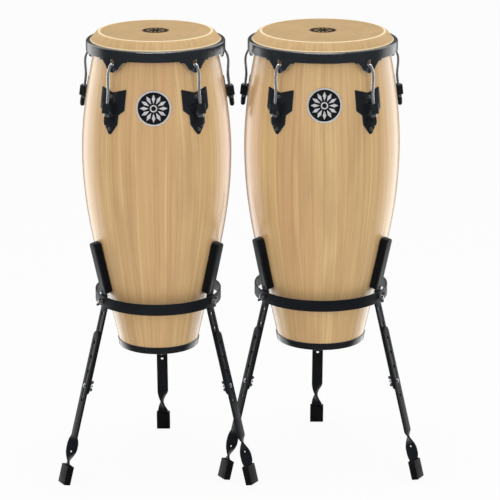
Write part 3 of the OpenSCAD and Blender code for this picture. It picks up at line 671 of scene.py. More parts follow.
def rawhide(drum):
    """Pale rawhide, paler and streaked on its pulled collar, with painted highlights on the shoulder and at
    the collar's foot, and a plain printed sunburst in the middle.
    """
    n = Nodes(f"{drum.size}_rawhide")
    f = finish()
    top = drum.foot + drum.height
    place = n.place((drum.x, drum.y, top))
    radius, angle, z = n.polar(place)
    cloud = n.noise(place, 14.0, 4.0, 0.6)
    mottle = n.noise(place, 90.0, 4.0, 0.6)
    speck = n.noise(place, 900.0, 2.0)
    pull = n.noise(n.node("CombineXYZ", {0: n.mul(angle, 22.0), 2: n.mul(z, 25.0)}).outputs[0], 1.0, 3.0)
    value = n.add(n.mul(n.ramp(cloud, 0.3, 0.7), 0.55), n.mul(n.ramp(mottle, 0.3, 0.7), 0.45))
    base = n.mix(value, shade(f.skin, 0.86), shade(f.skin, 1.14))
    streak = n.mix(n.ramp(pull, 0.3, 0.7), shade(f.skin, 0.98), shade(f.skin, 1.25))
    base = n.mix(n.ramp(radius, drum.head_r - 3 * MM, drum.head_r - 1 * MM), base, streak)
    # Painted highlights in the skin highlight colour: a pale line on the round shoulder and a fainter one
    # where the collar meets the rim, standing in for the lamps' shine there. Each is (place, middle, half
    # width, strength).
    rim_line = drum.rim_top - drum.height
    highlit = ((radius, drum.head_r - 4.5 * MM, 3.2 * MM, 0.85), (z, rim_line + 0.8 * MM, 1.4 * MM, 0.6))
    for where, middle, half, strength in highlit:
        line = n.ramp(n.math("ABSOLUTE", n.sub(where, middle)), half, half / 2)
        base = n.mix(n.mul(line, strength), base, rgb(f.skin_highlight))

    share = n.math("DIVIDE", radius, PRINT_R)
    disc = n.mul(n.ramp(share, 1.0, 0.985), n.math("GREATER_THAN", z, -1 * MM))
    sector = n.math("FRACT", n.add(n.math("DIVIDE", angle, 2 * pi / RAYS), 0.5 + RAYS))
    offset = n.mul(n.math("ABSOLUTE", n.sub(sector, 0.5)), n.mul(share, 2 * pi / RAYS))
    rise = n.ramp(share, RAY_IN, RAY_WIDE, 0.0, PRINT_RAY)
    fall = n.ramp(share, RAY_WIDE, PRINT_OUT, PRINT_RAY, 0.0)
    ray = n.math("LESS_THAN", offset, n.math("MINIMUM", rise, fall))
    band = n.math("LESS_THAN", n.math("ABSOLUTE", n.sub(share, PRINT_BAND)), PRINT_BAND_HALF)
    clear = n.math("MAXIMUM", ray, band)
    ink = n.mul(disc, n.sub(1.0, clear))
    base = n.mix(ink, base, INK)
    rough = n.add(0.42, n.mul(mottle, 0.12))
    n.set(Base_Color=base, Roughness=rough, Specular_IOR_Level=n.ramp(ink, 0.0, 1.0, 0.1, 0.02))
    n.bump(n.add(n.mul(mottle, 0.7), n.mul(speck, 0.3)), 0.18, 0.6 * MM)
    return n.material


def powder_coat(name, roughness, gloss):
    """Satin black coating with a slight orange peel and a few dusty patches."""
    n = Nodes(name)
    f = finish()
    place = n.place()
    peel = n.noise(place, 700.0, 2.0)
    cloud = n.noise(place, 9.0, 3.0)
    base = n.mix(n.ramp(cloud, 0.35, 0.7), rgb(f.black), shade(f.black, 1.5))
    rough = n.ramp(cloud, 0.3, 0.7, roughness, roughness + 0.08)
    n.set(Base_Color=base, Roughness=rough, Specular_IOR_Level=gloss)
    n.bump(peel, 0.06, 0.3 * MM)
    return n.material


def rubber():
    """Matt black rubber with a fine moulded grain."""
    n = Nodes("black_rubber")
    f = finish()
    place = n.place()
    grain = n.noise(place, 1300.0, 2.0)
    cloud = n.noise(place, 30.0, 3.0)
    base = n.mix(n.ramp(cloud, 0.35, 0.7), rgb(f.rubber), shade(f.rubber, 1.8))
    n.set(Base_Color=base, Roughness=n.ramp(cloud, 0.3, 0.7, 0.5, 0.65), Specular_IOR_Level=0.25)
    n.bump(grain, 0.25, 0.4 * MM)
    return n.material


def plating(name, roughness, brush, tint, metallic):
    """Plated steel: brush is how strongly fine lines and spots show, and less metallic is milkier."""
    n = Nodes(name)
    f = finish()
    place = n.place(scale=(1, 1, 0.15))
    line = n.noise(place, 900.0, 2.0)
    spot = n.noise(n.place(), 120.0, 3.0)
    base = n.mix(n.mul(n.ramp(spot, 0.4, 0.75), brush), shade(f.silver, tint),
                 shade(f.silver, 0.55 * tint))
    rough = n.add(roughness, n.mul(line, 0.3 * brush))
    n.set(Base_Color=base, Metallic=metallic, Roughness=rough)
    n.bump(line, 0.05, 0.2 * MM)
    return n.material


def enamel():
    """Gloss black enamel of the badge."""
    n = Nodes("badge_enamel")
    haze = n.noise(n.place(), 160.0, 3.0)
    n.set(Base_Color=n.mix(haze, (0.006, 0.006, 0.007), (0.011, 0.011, 0.012)),
          Roughness=n.ramp(haze, 0.3, 0.7, 0.16, 0.24), Coat_Weight=0.4, Coat_Roughness=0.08)
    return n.material


MATERIALS = {}


def material(name):
    """One of the shared materials, made the first time that it is asked for."""
    makers = {
        "drum_coat": lambda: powder_coat("drum_coat", 0.20, 1.0),
        "stand_coat": lambda: powder_coat("stand_coat", 0.42, 0.14),
        "rubber": rubber,
        "rod": lambda: plating("bright_rod", 0.16, 0.25, 1.30, 0.85),
        "zinc": lambda: plating("zinc_plate", 0.22, 0.6, 0.95, 0.9),
        "aluminium": lambda: plating("badge_aluminium", 0.30, 0.25, 1.25, 0.35),
        "dark_screw": lambda: plating("dark_screw", 0.32, 0.5, 0.3, 0.8),
        "enamel": enamel,
    }
    if name not in MATERIALS:
        MATERIALS[name] = makers[name]()
    return MATERIALS[name]


class Maker:
    """What every operator of a piece has in common: it makes its piece for both drums."""

    bl_options = {"REGISTER", "UNDO"}

    def execute(self, context):
        for size in SIZES:
            self.make(Drum(size))
        return {"FINISHED"}


# Drum pieces

LATHE_STEPS = 160


class CONGA_OT_staves(Maker, bpy.types.Operator):
    """Turns the two shells from their staves"""

    bl_idname = "conga.staves"
    bl_label = "Staves"

    def make(self, drum):
        wall = drum_sizes().wall_t
        crown = wall / 2
        body = [(p.x, p.y) for p in drum.curve if p.y < drum.wood_top - crown]
        top = drum.shell_r(drum.wood_top - crown)
        outside = body + arc(top - crown, drum.wood_top - crown, crown, 0, 180, 10)
        inside = [(r - wall, z) for r, z in reversed(body)]
        bm = bmesh.new()
        lathe(bm, outside + inside, LATHE_STEPS)
        move(bm, drum.frame())
        shell = piece(drum, "staves", bm, wood(drum), "drum", "shell")
        # Keeps the wood out of the reflections in the black steel
        shell.visible_glossy = False


BASE_T = 2 * MM
BASE_H = 16 * MM


class CONGA_OT_base_bands(Maker, bpy.types.Operator):
    """Turns the black bands at the feet of the shells"""

    bl_idname = "conga.base_bands"
    bl_label = "Base bands"

    def make(self, drum):
        wall = drum_sizes().wall_t
        low = drum.shell_r(BASE_LIP)
        high = drum.shell_r(BASE_H)
        points = [(low - wall, 0), (low + BASE_T, 0), (high + BASE_T, BASE_H), (high + SEAT_GAP, BASE_H),
                  (low + SEAT_GAP, BASE_LIP - SEAT_GAP), (low - wall, BASE_LIP - SEAT_GAP)]
        bm = turned(points, {1.2 * MM: (1, 2), 0.6 * MM: (0, 5), 0.2 * MM: (3,)}, LATHE_STEPS)
        move(bm, drum.frame())
        piece(drum, "base_band", bm, material("drum_coat"), "drum", "base_ring")


class CONGA_OT_skins(Maker, bpy.types.Operator):
    """Makes the skins: flat top, round shoulder, collar and the fold round the hoop"""

    bl_idname = "conga.skins"
    bl_label = "Skins"

    def make(self, drum):
        d = drum_sizes()
        top = drum.height
        turn = drum.collar_turn
        bend_in = BEND_R * (1 - sin(turn)) / cos(turn)
        bend = (drum.collar_r(top) - bend_in, top - BEND_R)
        hoop = (drum.hoop_ring_r, drum.hoop_z)
        turn = degrees(turn)
        fold_end = turn + degrees(acos(d.hoop_r / drum.fold_r)) - 360
        flat = [bend[0] * i / 8 for i in range(8)]
        outside = [(r, top) for r in flat] + arc(*bend, BEND_R, 90, turn, 12)
        outside += arc(*hoop, drum.fold_r, turn, fold_end, 28)
        under = arc(*bend, BEND_R - d.skin_t, turn, 90, 8) + [(0, top - d.skin_t)]
        bm = bmesh.new()
        lathe(bm, outside + under, LATHE_STEPS, closed=False)
        move(bm, drum.frame())
        piece(drum, "skin", bm, rawhide(drum), "drum", "head", smooth=60)


EAR_TIP_R = 10 * MM
EAR_SCALLOP_R = 8 * MM
EAR_WAIST = 0.56
EAR_HOLE = (5 * MM, 2 * MM)
RIM_STEPS = 26
RIM_CORNER = 4 * MM
RIM_EDGE = 0.8 * MM


def ear_side(d, half):
    """The lower edge of one fifth of the rim, from its side in to the tip of its ear."""
    tip = (EAR_TIP_R, -d.ear_len)
    outer = arc(d.ear_w / 2 - 3 * MM, -EAR_SCALLOP_R - 3 * MM, EAR_SCALLOP_R, 62, 150, 7)
    waist = (d.ear_w / 4, -d.ear_len * EAR_WAIST)
    inner = arc(tip[0] + EAR_SCALLOP_R + 1 * MM, tip[1] + 1 * MM, EAR_SCALLOP_R, 100, 165, 6)
    round_tip = arc(0, EAR_TIP_R - d.ear_len, EAR_TIP_R, -15, -90, 8)
    return [(half, 0), (d.ear_w / 2 + 3 * MM, 0)] + outer + [waist] + inner + round_tip


class CONGA_OT_rims(Maker, bpy.types.Operator):
    """Makes the rims: a band with five scalloped ears and a rolled top flange"""

    bl_idname = "conga.rims"
    bl_label = "Rims"

    def make(self, drum):
        d = drum_sizes()
        out = drum.rim_r
        band_top = drum.rim_top - RIM_CORNER
        foot = drum.rim_top - d.rim_h
        half = pi * out / d.lugs
        hole_r, hole_stretch = EAR_HOLE
        hole = (EAR_LIP - d.ear_len + hole_r + hole_stretch, hole_r, hole_stretch)
        side = [(0, band_top - foot), (half, band_top - foot)] + ear_side(d, half)
        sector = plate(side, [hole], d.rim_t, 0)
        ends = [f for f in sector.faces
                if all(abs(abs(v.co.y) - half) < 1e-6 for v in f.verts)
                or all(abs(v.co.z - band_top + foot) < 1e-6 for v in f.verts)]
        bmesh.ops.delete(sector, geom=ends, context="FACES")
        bevel_sharp(sector, RIM_EDGE)
        slice_at(sector, "Y", [half * (2 * i / RIM_STEPS - 1) for i in range(1, RIM_STEPS)])
        slice_at(sector, "Z", span(-d.ear_len, band_top - foot, 8 * MM))
        for v in sector.verts:
            angle = v.co.y / out
            r = out - d.rim_t + v.co.x
            v.co = Vector((r * cos(angle), r * sin(angle), v.co.z + foot))
        bm = copies(sector, [turn_z(azimuth) for azimuth in drum.lug_azimuths()])

        under = drum.rim_top - d.rim_t
        inner = RIM_CORNER - d.rim_t
        section = arc(out - RIM_CORNER, band_top, RIM_CORNER, 0, 90, 8)
        section += [(drum.collar_r(drum.rim_top) + SKIN_GAP + 0.6 * MM, drum.rim_top),
                    (drum.collar_r(drum.rim_top) + SKIN_GAP + 0.3 * MM, drum.rim_top - 0.6 * MM),
                    (drum.collar_r(under) + SKIN_GAP, under)]
        section += arc(out - RIM_CORNER, band_top, inner, 90, 0, 6)
        crown = bmesh.new()
        lathe(crown, section, RIM_STEPS * d.lugs, closed=False)
        join(bm, crown, turn_z(FRONT + 180 / d.lugs))
        crown.free()
        bmesh.ops.remove_doubles(bm, verts=bm.verts, dist=5e-6)
        fix_normals(bm)
        move(bm, drum.frame())
        piece(drum, "rim_band", bm, material("drum_coat"), "drum", "rim")


CROOK_R = 8 * MM
CROOK_IN = 160
CROOK_OUT = 25
CROOK_TIP = 4 * MM
TIP_CHAMFER = 0.8 * MM
TIP_SHARE = 0.7
BOW_LEAN = 10
BOW_HANDLES = (26 * MM, 30 * MM)
STRAIGHT_H = 14 * MM
ROD_OUT = 15.5 * MM
BRACKET_H = 22 * MM
WASHER_H = 6.5 * MM
NUT_H = 20 * MM
NUT_END = 4 * MM
THREAD_PITCH = 1.25 * MM
THREAD_DEPTH = 0.35 * MM
THREAD_START = 5 * MM
THREAD_STOP = 1 * MM
# Along one turn of a thread: the share of its pitch, and of its depth
THREAD_FORM = ((0.0, 0), (0.35, 0), (0.6, 1), (0.85, 1))


def hook_stations(drum):
    """The middle line of a tension hook, from its tip inside the ear to its end in the cap nut."""
    d = drum_sizes()
    seat = sqrt((CROOK_R - d.hook_r) ** 2 - (d.rim_t / 2) ** 2) - SLIDE_GAP
    crook = Vector((drum.rim_r - d.rim_t / 2, drum.ear_lip - seat))
    tilt = drum.tilt(drum.bracket_z)
    up = Vector((sin(tilt), cos(tilt)))
    out = Vector((cos(tilt), -sin(tilt)))
    rod = Vector((drum.shell_r(drum.bracket_z), drum.bracket_z)) + ROD_OUT * out
    leave_dir = radians(CROOK_OUT + BOW_LEAN)
    leave = crook + CROOK_R * Vector((cos(radians(CROOK_OUT)), sin(radians(CROOK_OUT))))
    straight = rod + (BRACKET_H / 2 + STRAIGHT_H) * up
    bow = (leave, leave + BOW_HANDLES[0] * Vector((sin(leave_dir), -cos(leave_dir))),
           straight + BOW_HANDLES[1] * up, straight)
    tip_dir = radians(CROOK_IN)
    tip = crook + CROOK_R * Vector((cos(tip_dir), sin(tip_dir)))
    smooth = [tip - CROOK_TIP * Vector((sin(tip_dir), -cos(tip_dir)))]
    smooth += [Vector(p) for p in arc(*crook, CROOK_R, CROOK_IN, CROOK_OUT, 14)]
    smooth += [bezier(bow, i / 16) for i in range(1, 17)]
    points = [(p, d.hook_r) for p in smooth]
    end = rod - (BRACKET_H / 2 + WASHER_H + NUT_H - NUT_END) * up
    run = (end - straight).length
    for i in range(int((run - THREAD_START - THREAD_STOP) / THREAD_PITCH)):
        for share, depth in THREAD_FORM:
            s = THREAD_START + (i + share) * THREAD_PITCH
            points.append((straight - s * up, d.hook_r - depth * THREAD_DEPTH))
    points.append((end, d.hook_r))
    stations = []
    for i, (p, radius) in enumerate(points):
        ahead = points[min(i + 1, len(points) - 1)][0] - points[max(i - 1, 0)][0]
        stations.append((p.x, p.y, atan2(ahead.y, ahead.x), radius))
    first = stations[0]
    cap = Vector((cos(first[2]), sin(first[2]))) * TIP_CHAMFER
    return [(first[0] - cap.x, first[1] - cap.y, first[2], first[3] * TIP_SHARE)] + stations


class CONGA_OT_hooks(Maker, bpy.types.Operator):
    """Bends the tension hooks and cuts their threads"""

    bl_idname = "conga.hooks"
    bl_label = "Tension hooks"

    def make(self, drum):
        hook = bmesh.new()
        sweep(hook, hook_stations(drum), 16)
        bm = copies(hook, [drum.frame() @ turn_z(azimuth) for azimuth in drum.lug_azimuths()])
        piece(drum, "hooks", bm, material("rod"), "drum", "tension_hooks")


WASHER_R = 6.75 * MM
WASHER_STEP = 1.1 * MM
WASHER_STEP_UP = 0.62
NUT_R = 6 * MM
DOME_R = 5.2 * MM
DOME_H = 7 * MM


def at_brackets(drum, bm, x=0.0, z=0.0):
    """A mesh with a copy at each lug's bracket."""
    return copies(bm, [drum.on_shell(azimuth, drum.bracket_z) @ shift(x, 0, z)
                       for azimuth in drum.lug_azimuths()])


class CONGA_OT_hook_collars(Maker, bpy.types.Operator):
    """Turns the silver collars under the brackets"""

    bl_idname = "conga.hook_collars"
    bl_label = "Hook collars"

    def make(self, drum):
        bore = drum_sizes().hook_r + SEAT_GAP
        h = WASHER_H - 2 * HAIR_GAP
        step = (WASHER_R - WASHER_STEP, h * WASHER_STEP_UP)
        points = [(bore, 0), (WASHER_R, 0), (WASHER_R, step[1]), step, (step[0], h), (bore, h)]
        bm = turned(points, {0.5 * MM: (1, 2, 4), 0.3 * MM: (0, 5)}, 40)
        bm = at_brackets(drum, bm, ROD_OUT, -BRACKET_H / 2 - WASHER_H + HAIR_GAP)
        piece(drum, "hook_collars", bm, material("zinc"), "drum", "tuning_washers")


class CONGA_OT_cap_nuts(Maker, bpy.types.Operator):
    """Makes the black cap nuts that tune the heads"""

    bl_idname = "conga.cap_nuts"
    bl_label = "Cap nuts"

    def make(self, drum):
        bore = drum_sizes().hook_r + SEAT_GAP
        hexagon = bmesh.new()
        bmesh.ops.create_circle(hexagon, cap_ends=True, segments=6, radius=NUT_R, matrix=shift(0, 0, DOME_H))
        raise_faces(hexagon, hexagon.faces[:], (0, 0, NUT_H - DOME_H))
        fix_normals(hexagon)
        bevel_sharp(hexagon, 0.6 * MM)
        inside = DOME_H + 0.5 * MM
        dome = [(0, 0)] + arc(0, DOME_R, DOME_R, -75, 0, 8) + [(DOME_R, inside), (bore, inside)]
        lathe(hexagon, dome, 40, closed=False)
        bm = at_brackets(drum, hexagon, ROD_OUT, -BRACKET_H / 2 - WASHER_H - NUT_H)
        piece(drum, "cap_nuts", bm, material("drum_coat"), "drum", "tuning_nuts")


PLATE_W = 66 * MM
PLATE_H = 98 * MM
PLATE_T = 2 * MM
PLATE_OVER = 43 * MM
BACKING_T = 2 * MM
PLATE_FOOT = PLATE_OVER - PLATE_H
WING_H = 45 * MM
NECK_H = 56 * MM
WAIST_H = 76 * MM
WING_DIP = 9 * MM
LUG_BOLT_TOP = 18 * MM
LUG_BOLT_FOOT = 11 * MM
BRACKET_W = 20 * MM
BRACKET_DEEP = 23 * MM
BRACKET_T = 3 * MM
FOLD_R = 2.5 * MM
WELD_R = 0.9 * MM
WELD_LEN = 14 * MM


def wing_plate(drum):
    """The winged plate of a lug, laid on the wood about the bracket's height."""
    wing = PLATE_W / 2
    neck = PLATE_W / 4 + 3 * MM
    top = PLATE_OVER
    side = [(0, top - WING_DIP), (wing - 1.5 * MM, top - 0.4 * MM), (wing, top - 2 * MM),
            (wing, top - WING_H), (neck, top - NECK_H), (neck - 1 * MM, top - WAIST_H),
            (3 * MM, PLATE_FOOT), (0, PLATE_FOOT)]
    bm = plate(side, [], PLATE_T, 0.5 * MM)
    slice_at(bm, "Y", span(-wing, wing, 4 * MM))
    slice_at(bm, "Z", span(PLATE_FOOT, top, 8 * MM))
    move(bm, shift(SEAT_GAP, 0, 0))
    wrap(bm, drum, drum.bracket_z)
    return bm


def bracket():
    """The folded bracket that a hook passes through, with a weld along each of its feet."""
    bm = bmesh.new()
    w = BRACKET_W / 2
    inside = w - BRACKET_T
    root = PLATE_T / 2
    face = bm.faces.new([bm.verts.new((x, y, -BRACKET_H / 2)) for x, y in (
        (root, -w), (BRACKET_DEEP, -w), (BRACKET_DEEP, w), (root, w), (root, inside),
        (BRACKET_DEEP - BRACKET_T, inside), (BRACKET_DEEP - BRACKET_T, -inside), (root, -inside))])
    raise_faces(bm, [face], (0, 0, BRACKET_H))
    fix_normals(bm)
    folds = [e for e in bm.edges if abs(e.verts[0].co.x - BRACKET_DEEP) < 1e-6
             and abs(e.verts[1].co.x - BRACKET_DEEP) < 1e-6 and abs(e.verts[0].co.z - e.verts[1].co.z) > 1e-6]
    bevel(bm, folds, FOLD_R, 5)
    bevel_sharp(bm, 0.4 * MM, limit=60)
    for side in (-1, 1):
        foot = bmesh.new()
        half = WELD_LEN / 2
        sweep(foot, [(0, -half - 1 * MM, pi / 2, WELD_R / 2), (0, -half, pi / 2, WELD_R),
                     (0, half, pi / 2, WELD_R), (0, half + 1 * MM, pi / 2, WELD_R / 2)], 10)
        join(bm, foot, shift(PLATE_T + SEAT_GAP, side * (w + 0.2 * MM), 0))
        foot.free()
    return bm


class CONGA_OT_lug_plates(Maker, bpy.types.Operator):
    """Presses the winged lug plates and folds their brackets"""

    bl_idname = "conga.lug_plates"
    bl_label = "Lug plates"

    def make(self, drum):
        bm = at_brackets(drum, bracket())
        winged = wing_plate(drum)
        for azimuth in drum.lug_azimuths():
            join(bm, winged, drum.frame() @ turn_z(azimuth))
        winged.free()
        piece(drum, "lug_set", bm, material("drum_coat"), "drum", "lug_plates")


class CONGA_OT_lug_screws(Maker, bpy.types.Operator):
    """Turns the domed screws of the lug plates and their nuts inside the shell"""

    bl_idname = "conga.lug_screws"
    bl_label = "Lug screws"

    def make(self, drum):
        wall = drum_sizes().wall_t
        out = PLATE_T + 2 * SEAT_GAP
        inside = -wall - BACKING_T - 2 * SEAT_GAP
        head = [(0, out + 2.0 * MM), (1.3 * MM, out + 2.0 * MM), (1.7 * MM, out + 2.6 * MM),
                (2.6 * MM, out + 2.5 * MM), (3.7 * MM, out + 1.8 * MM), (4.2 * MM, out + 0.7 * MM),
                (4.1 * MM, out), (2.5 * MM, out), (2.5 * MM, inside - 4.4 * MM), (0, inside - 4.6 * MM)]
        screw = bmesh.new()
        lathe(screw, head, 28, closed=False)
        nut = bmesh.ops.create_cone(screw, cap_ends=True, segments=6, radius1=4.6 * MM, radius2=4.6 * MM,
                                    depth=3.6 * MM, matrix=shift(0, 0, inside - 1.8 * MM))
        bevel_sharp(screw, 0.3 * MM, limit=50, faces={f for v in nut["verts"] for f in v.link_faces})
        move(screw, ALONG_X)
        bm = copies(screw, [drum.on_shell(azimuth, drum.bracket_z + z)
                            for z in (PLATE_OVER - LUG_BOLT_TOP, PLATE_FOOT + LUG_BOLT_FOOT)
                            for azimuth in drum.lug_azimuths()])
        piece(drum, "lug_screws", bm, material("dark_screw"), "drum", "lug_bolts")


BEZEL_W = 3.5 * MM
BADGE_T = 1.5 * MM
BEZEL_UP = 0.8 * MM
SUN_UP = 0.6 * MM
SUN_DOWN = 0.1 * MM
SUN_EDGE = 0.25 * MM
SUN_HUB = (0.15, 0.23)


class CONGA_OT_badges(Maker, bpy.types.Operator):
    """Makes the badges: a silver bezel, an enamelled disc and a raised sunburst"""

    bl_idname = "conga.badges"
    bl_label = "Badges"

    def lay(self, drum, bm, name, paint, slot, node=None):
        """Lays a flat mesh, facing +Z, on the front of the wood."""
        move(bm, FACE_X)
        move(bm, shift(SEAT_GAP, 0, 0))
        wrap(bm, drum, drum_sizes().badge_z)
        move(bm, drum.frame() @ turn_z(FRONT))
        piece(drum, name, bm, material(paint), "drum", node)

    def make(self, drum):
        outer = drum_sizes().badge_r
        inner = outer - BEZEL_W
        up = BADGE_T + BEZEL_UP
        bezel = turned([(inner, 0), (outer, 0), (outer, up - 0.9 * MM), (outer - 1.2 * MM, up),
                        (inner + 0.8 * MM, up), (inner, up - 0.6 * MM)],
                       {0.3 * MM: (2, 3, 4, 5)}, 96)
        self.lay(drum, bezel, "badge_ring", "aluminium", "badge_silver", "badge_bezel")
        disc = bmesh.new()
        edge = inner - HAIR_GAP
        rings = [edge * (10 - i) / 10 for i in range(1, 10)]
        section = [(0, 0), (edge, 0), (edge, BADGE_T)] + [(r, BADGE_T) for r in rings] + [(0, BADGE_T)]
        lathe(disc, section, 96, closed=False)
        self.lay(drum, disc, "badge_face", "enamel", "badge_black", "badge_disc")
        sun = bmesh.new()
        low, high = BADGE_T - SUN_DOWN, BADGE_T + SUN_UP
        ray = [sun.verts.new((x * edge, y * edge, low)) for x, y in (
            (RAY_IN, 0), (RAY_WIDE, RAY_HALF), (RAY_OUT, 0), (RAY_WIDE, -RAY_HALF))]
        raise_faces(sun, [sun.faces.new(ray)], (0, 0, high - low))
        fix_normals(sun)
        bevel_sharp(sun, SUN_EDGE)
        bmesh.ops.spin(sun, geom=sun.verts[:] + sun.edges[:] + sun.faces[:], cent=(0, 0, 0), axis=(0, 0, 1),
                       angle=2 * pi * (RAYS - 1) / RAYS, steps=RAYS - 1, use_duplicate=True)
        inside, outside = (share * edge for share in SUN_HUB)
        hub = turned([(inside, low), (outside, low), (outside, high), (inside, high)], {SUN_EDGE: (2, 3)}, 40)
        join(sun, hub)
        hub.free()
        self.lay(drum, sun, "badge_sun", "aluminium", "badge_silver")


# Stand pieces

BAR_EDGE = 0.7 * MM
END_ROUND = 9 * MM
TAIL_HOLES = 5
LOWER_HOLES = 5
BOLT_R = 3 * MM
PEEP_UP = 8 * MM
PEEP_R = 2.5 * MM
PAD_UP = 3.7 * MM
HUB_R = 5.5 * MM
HUB_H = 7 * MM
NUT_TURN = 60


def bar_side(half, top, top_round, foot, foot_round):
    """The right-hand edge of a flat bar from top to foot, with its ends rounded."""
    side = [(0, top)] + arc(half - top_round, top - top_round, top_round, 90, 0, 8)
    if foot_round:
        side += arc(half - foot_round, foot + foot_round, foot_round, 0, -90, 8)
    else:
        side += [(half, foot)]
    return side + [(0, foot)]


class CONGA_OT_stand_rings(Maker, bpy.types.Operator):
    """Rolls the flat rings of the stands"""

    bl_idname = "conga.stand_rings"
    bl_label = "Stand rings"

    def make(self, drum):
        h = drum.ring_h / 2
        points = [(drum.ring_inner, -h), (drum.ring_outer, -h), (drum.ring_outer, h), (drum.ring_inner, h)]
        bm = turned(points, {BAR_EDGE: (0, 1, 2, 3)}, LATHE_STEPS)
        move(bm, drum.on_axis(0, drum.ring_z))
        piece(drum, "hoop", bm, material("stand_coat"), "root", "ring")


def chord_tilt(drum):
    """Outward tilt of an upright above its upper bend, along the wood."""
    s = stand_sizes()
    return atan((drum.shell_r(s.pad_z + s.pad_len) - drum.shell_r(s.pad_z)) / s.pad_len)


def upright_top(drum):
    """Length of an upright above its upper bend."""
    up = chord_tilt(drum)
    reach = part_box(f"{drum.size}_uprights")[1].z - drum.bend_up - stand_sizes().bar_t * sin(up)
    return reach / cos(up)


class CONGA_OT_uprights(Maker, bpy.types.Operator):
    """Bends the uprights of the stands and drills their holes"""

    bl_idname = "conga.uprights"
    bl_label = "Uprights"

    def make(self, drum):
        s = stand_sizes()
        lean = s.leg_lean
        up = chord_tilt(drum)
        rise = drum.bend_up - drum.ring_z
        top = rise + upright_top(drum)
        bore = BOLT_R + SEAT_GAP
        holes = [(-s.leg_bolt_s + i * s.hole_pitch, s.hole_r, 0) for i in range(1, TAIL_HOLES + 1)]
        holes += [(-s.leg_bolt_s, bore, 0), (0, bore, 0), (rise + PEEP_UP, PEEP_R, 0)]
        side = bar_side(s.bar_w / 2, top, END_ROUND, -s.tail_len, END_ROUND)
        bar = plate(side, holes, s.bar_t, BAR_EDGE)
        move(bar, shift(-s.bar_t, 0, 0))
        soft = 2 * MM
        slice_at(bar, "Z", [b + d for b in (-rise, rise) for d in (-soft, 0, soft)])
        for v in bar.verts:
            x, z = v.co.x, v.co.z
            turn, pivot = (up, rise) if z > 0 else (-lean, -rise)
            d = z - pivot
            if abs(d) < 1e-6:
                v.co.z = z - x * tan(turn / 2)
            elif abs(z) > rise:
                v.co.x = x * cos(turn) + d * sin(turn)
                v.co.z = pivot - x * sin(turn) + d * cos(turn)
        bm = copies(bar, [drum.on_axis(azimuth, drum.ring_z) @ shift(drum.bar_face, 0, 0)
                          for azimuth in SIDES.values()])
        piece(drum, "upright_bars", bm, material("stand_coat"), "root", "uprights")


class CONGA_OT_pads(Maker, bpy.types.Operator):
    """Moulds the rubber pads that the shells rest on"""

    bl_idname = "conga.pads"
    bl_label = "Rubber pads"

    def make(self, drum):
        s = stand_sizes()
        up = chord_tilt(drum)
        side = bar_side(s.bar_w / 2, upright_top(drum), END_ROUND, PAD_UP, 1.5 * MM)
        pad = plate(side, [], s.pad_t - HAIR_GAP, 1.6 * MM)
        move(pad, shift(-s.bar_t - s.pad_t, 0, 0))
        bm = copies(pad, [drum.on_axis(azimuth, drum.bend_up) @ shift(drum.bar_face, 0, 0)
                          @ Matrix.Rotation(up, 4, "Y") for azimuth in SIDES.values()])
        piece(drum, "rubber_pads", bm, material("rubber"), "root", "pads")


def boot_end(drum):
    """Distance from the ring's middle down to the end of a boot."""
    s = stand_sizes()
    drop = drum.bend_down + (drum.leg_middle - s.boot_t / 2) * sin(s.leg_lean) + s.boot_press
    return drum.ring_z - drum.bend_down + drop / cos(s.leg_lean)


SOLE = 8 * MM
BOOT_EDGE = 1.4 * MM
BOOT_WALL = 2.4 * MM
MOUTH_EDGE = 0.6 * MM
MOUTH_DEEP = 3.5 * MM
TWIST_STEPS = 40
TWIST_HOLE_R = 2.5 * MM


class CONGA_OT_legs(Maker, bpy.types.Operator):
    """Cuts, drills and twists the lower legs"""

    bl_idname = "conga.legs"
    bl_label = "Twisted legs"

    def make(self, drum):
        s = stand_sizes()
        end = boot_end(drum) - SOLE
        holes = [(-s.leg_bolt_s + i * s.hole_pitch, s.hole_r, 0) for i in range(-1, LOWER_HOLES - 1)]
        holes.append((-s.twist_s - s.twist_len / 2, TWIST_HOLE_R, 0))
        side = bar_side(s.bar_w / 2, -s.lower_top_s, s.bar_w / 2 - 0.01 * MM, -end, 0)
        for side_name, azimuth in SIDES.items():
            bar = plate(side, holes, s.bar_t, BAR_EDGE)
            move(bar, shift(-s.bar_t / 2, 0, 0))
            slice_at(bar, "Z", [-s.twist_s - s.twist_len * i / TWIST_STEPS for i in range(TWIST_STEPS + 1)])
            for v in bar.verts:
                share = min(max((-v.co.z - s.twist_s) / s.twist_len, 0), 1)
                v.co = Matrix.Rotation(pi * share, 3, "Z") @ v.co
            move(bar, shift(drum.leg_middle, 0, 0))
            move(bar, drum.on_leg(azimuth))
            piece(drum, f"twisted_leg_{side_name}", bar, material("stand_coat"), f"leg_{side_name}",
                  f"lower_leg_{side_name}")


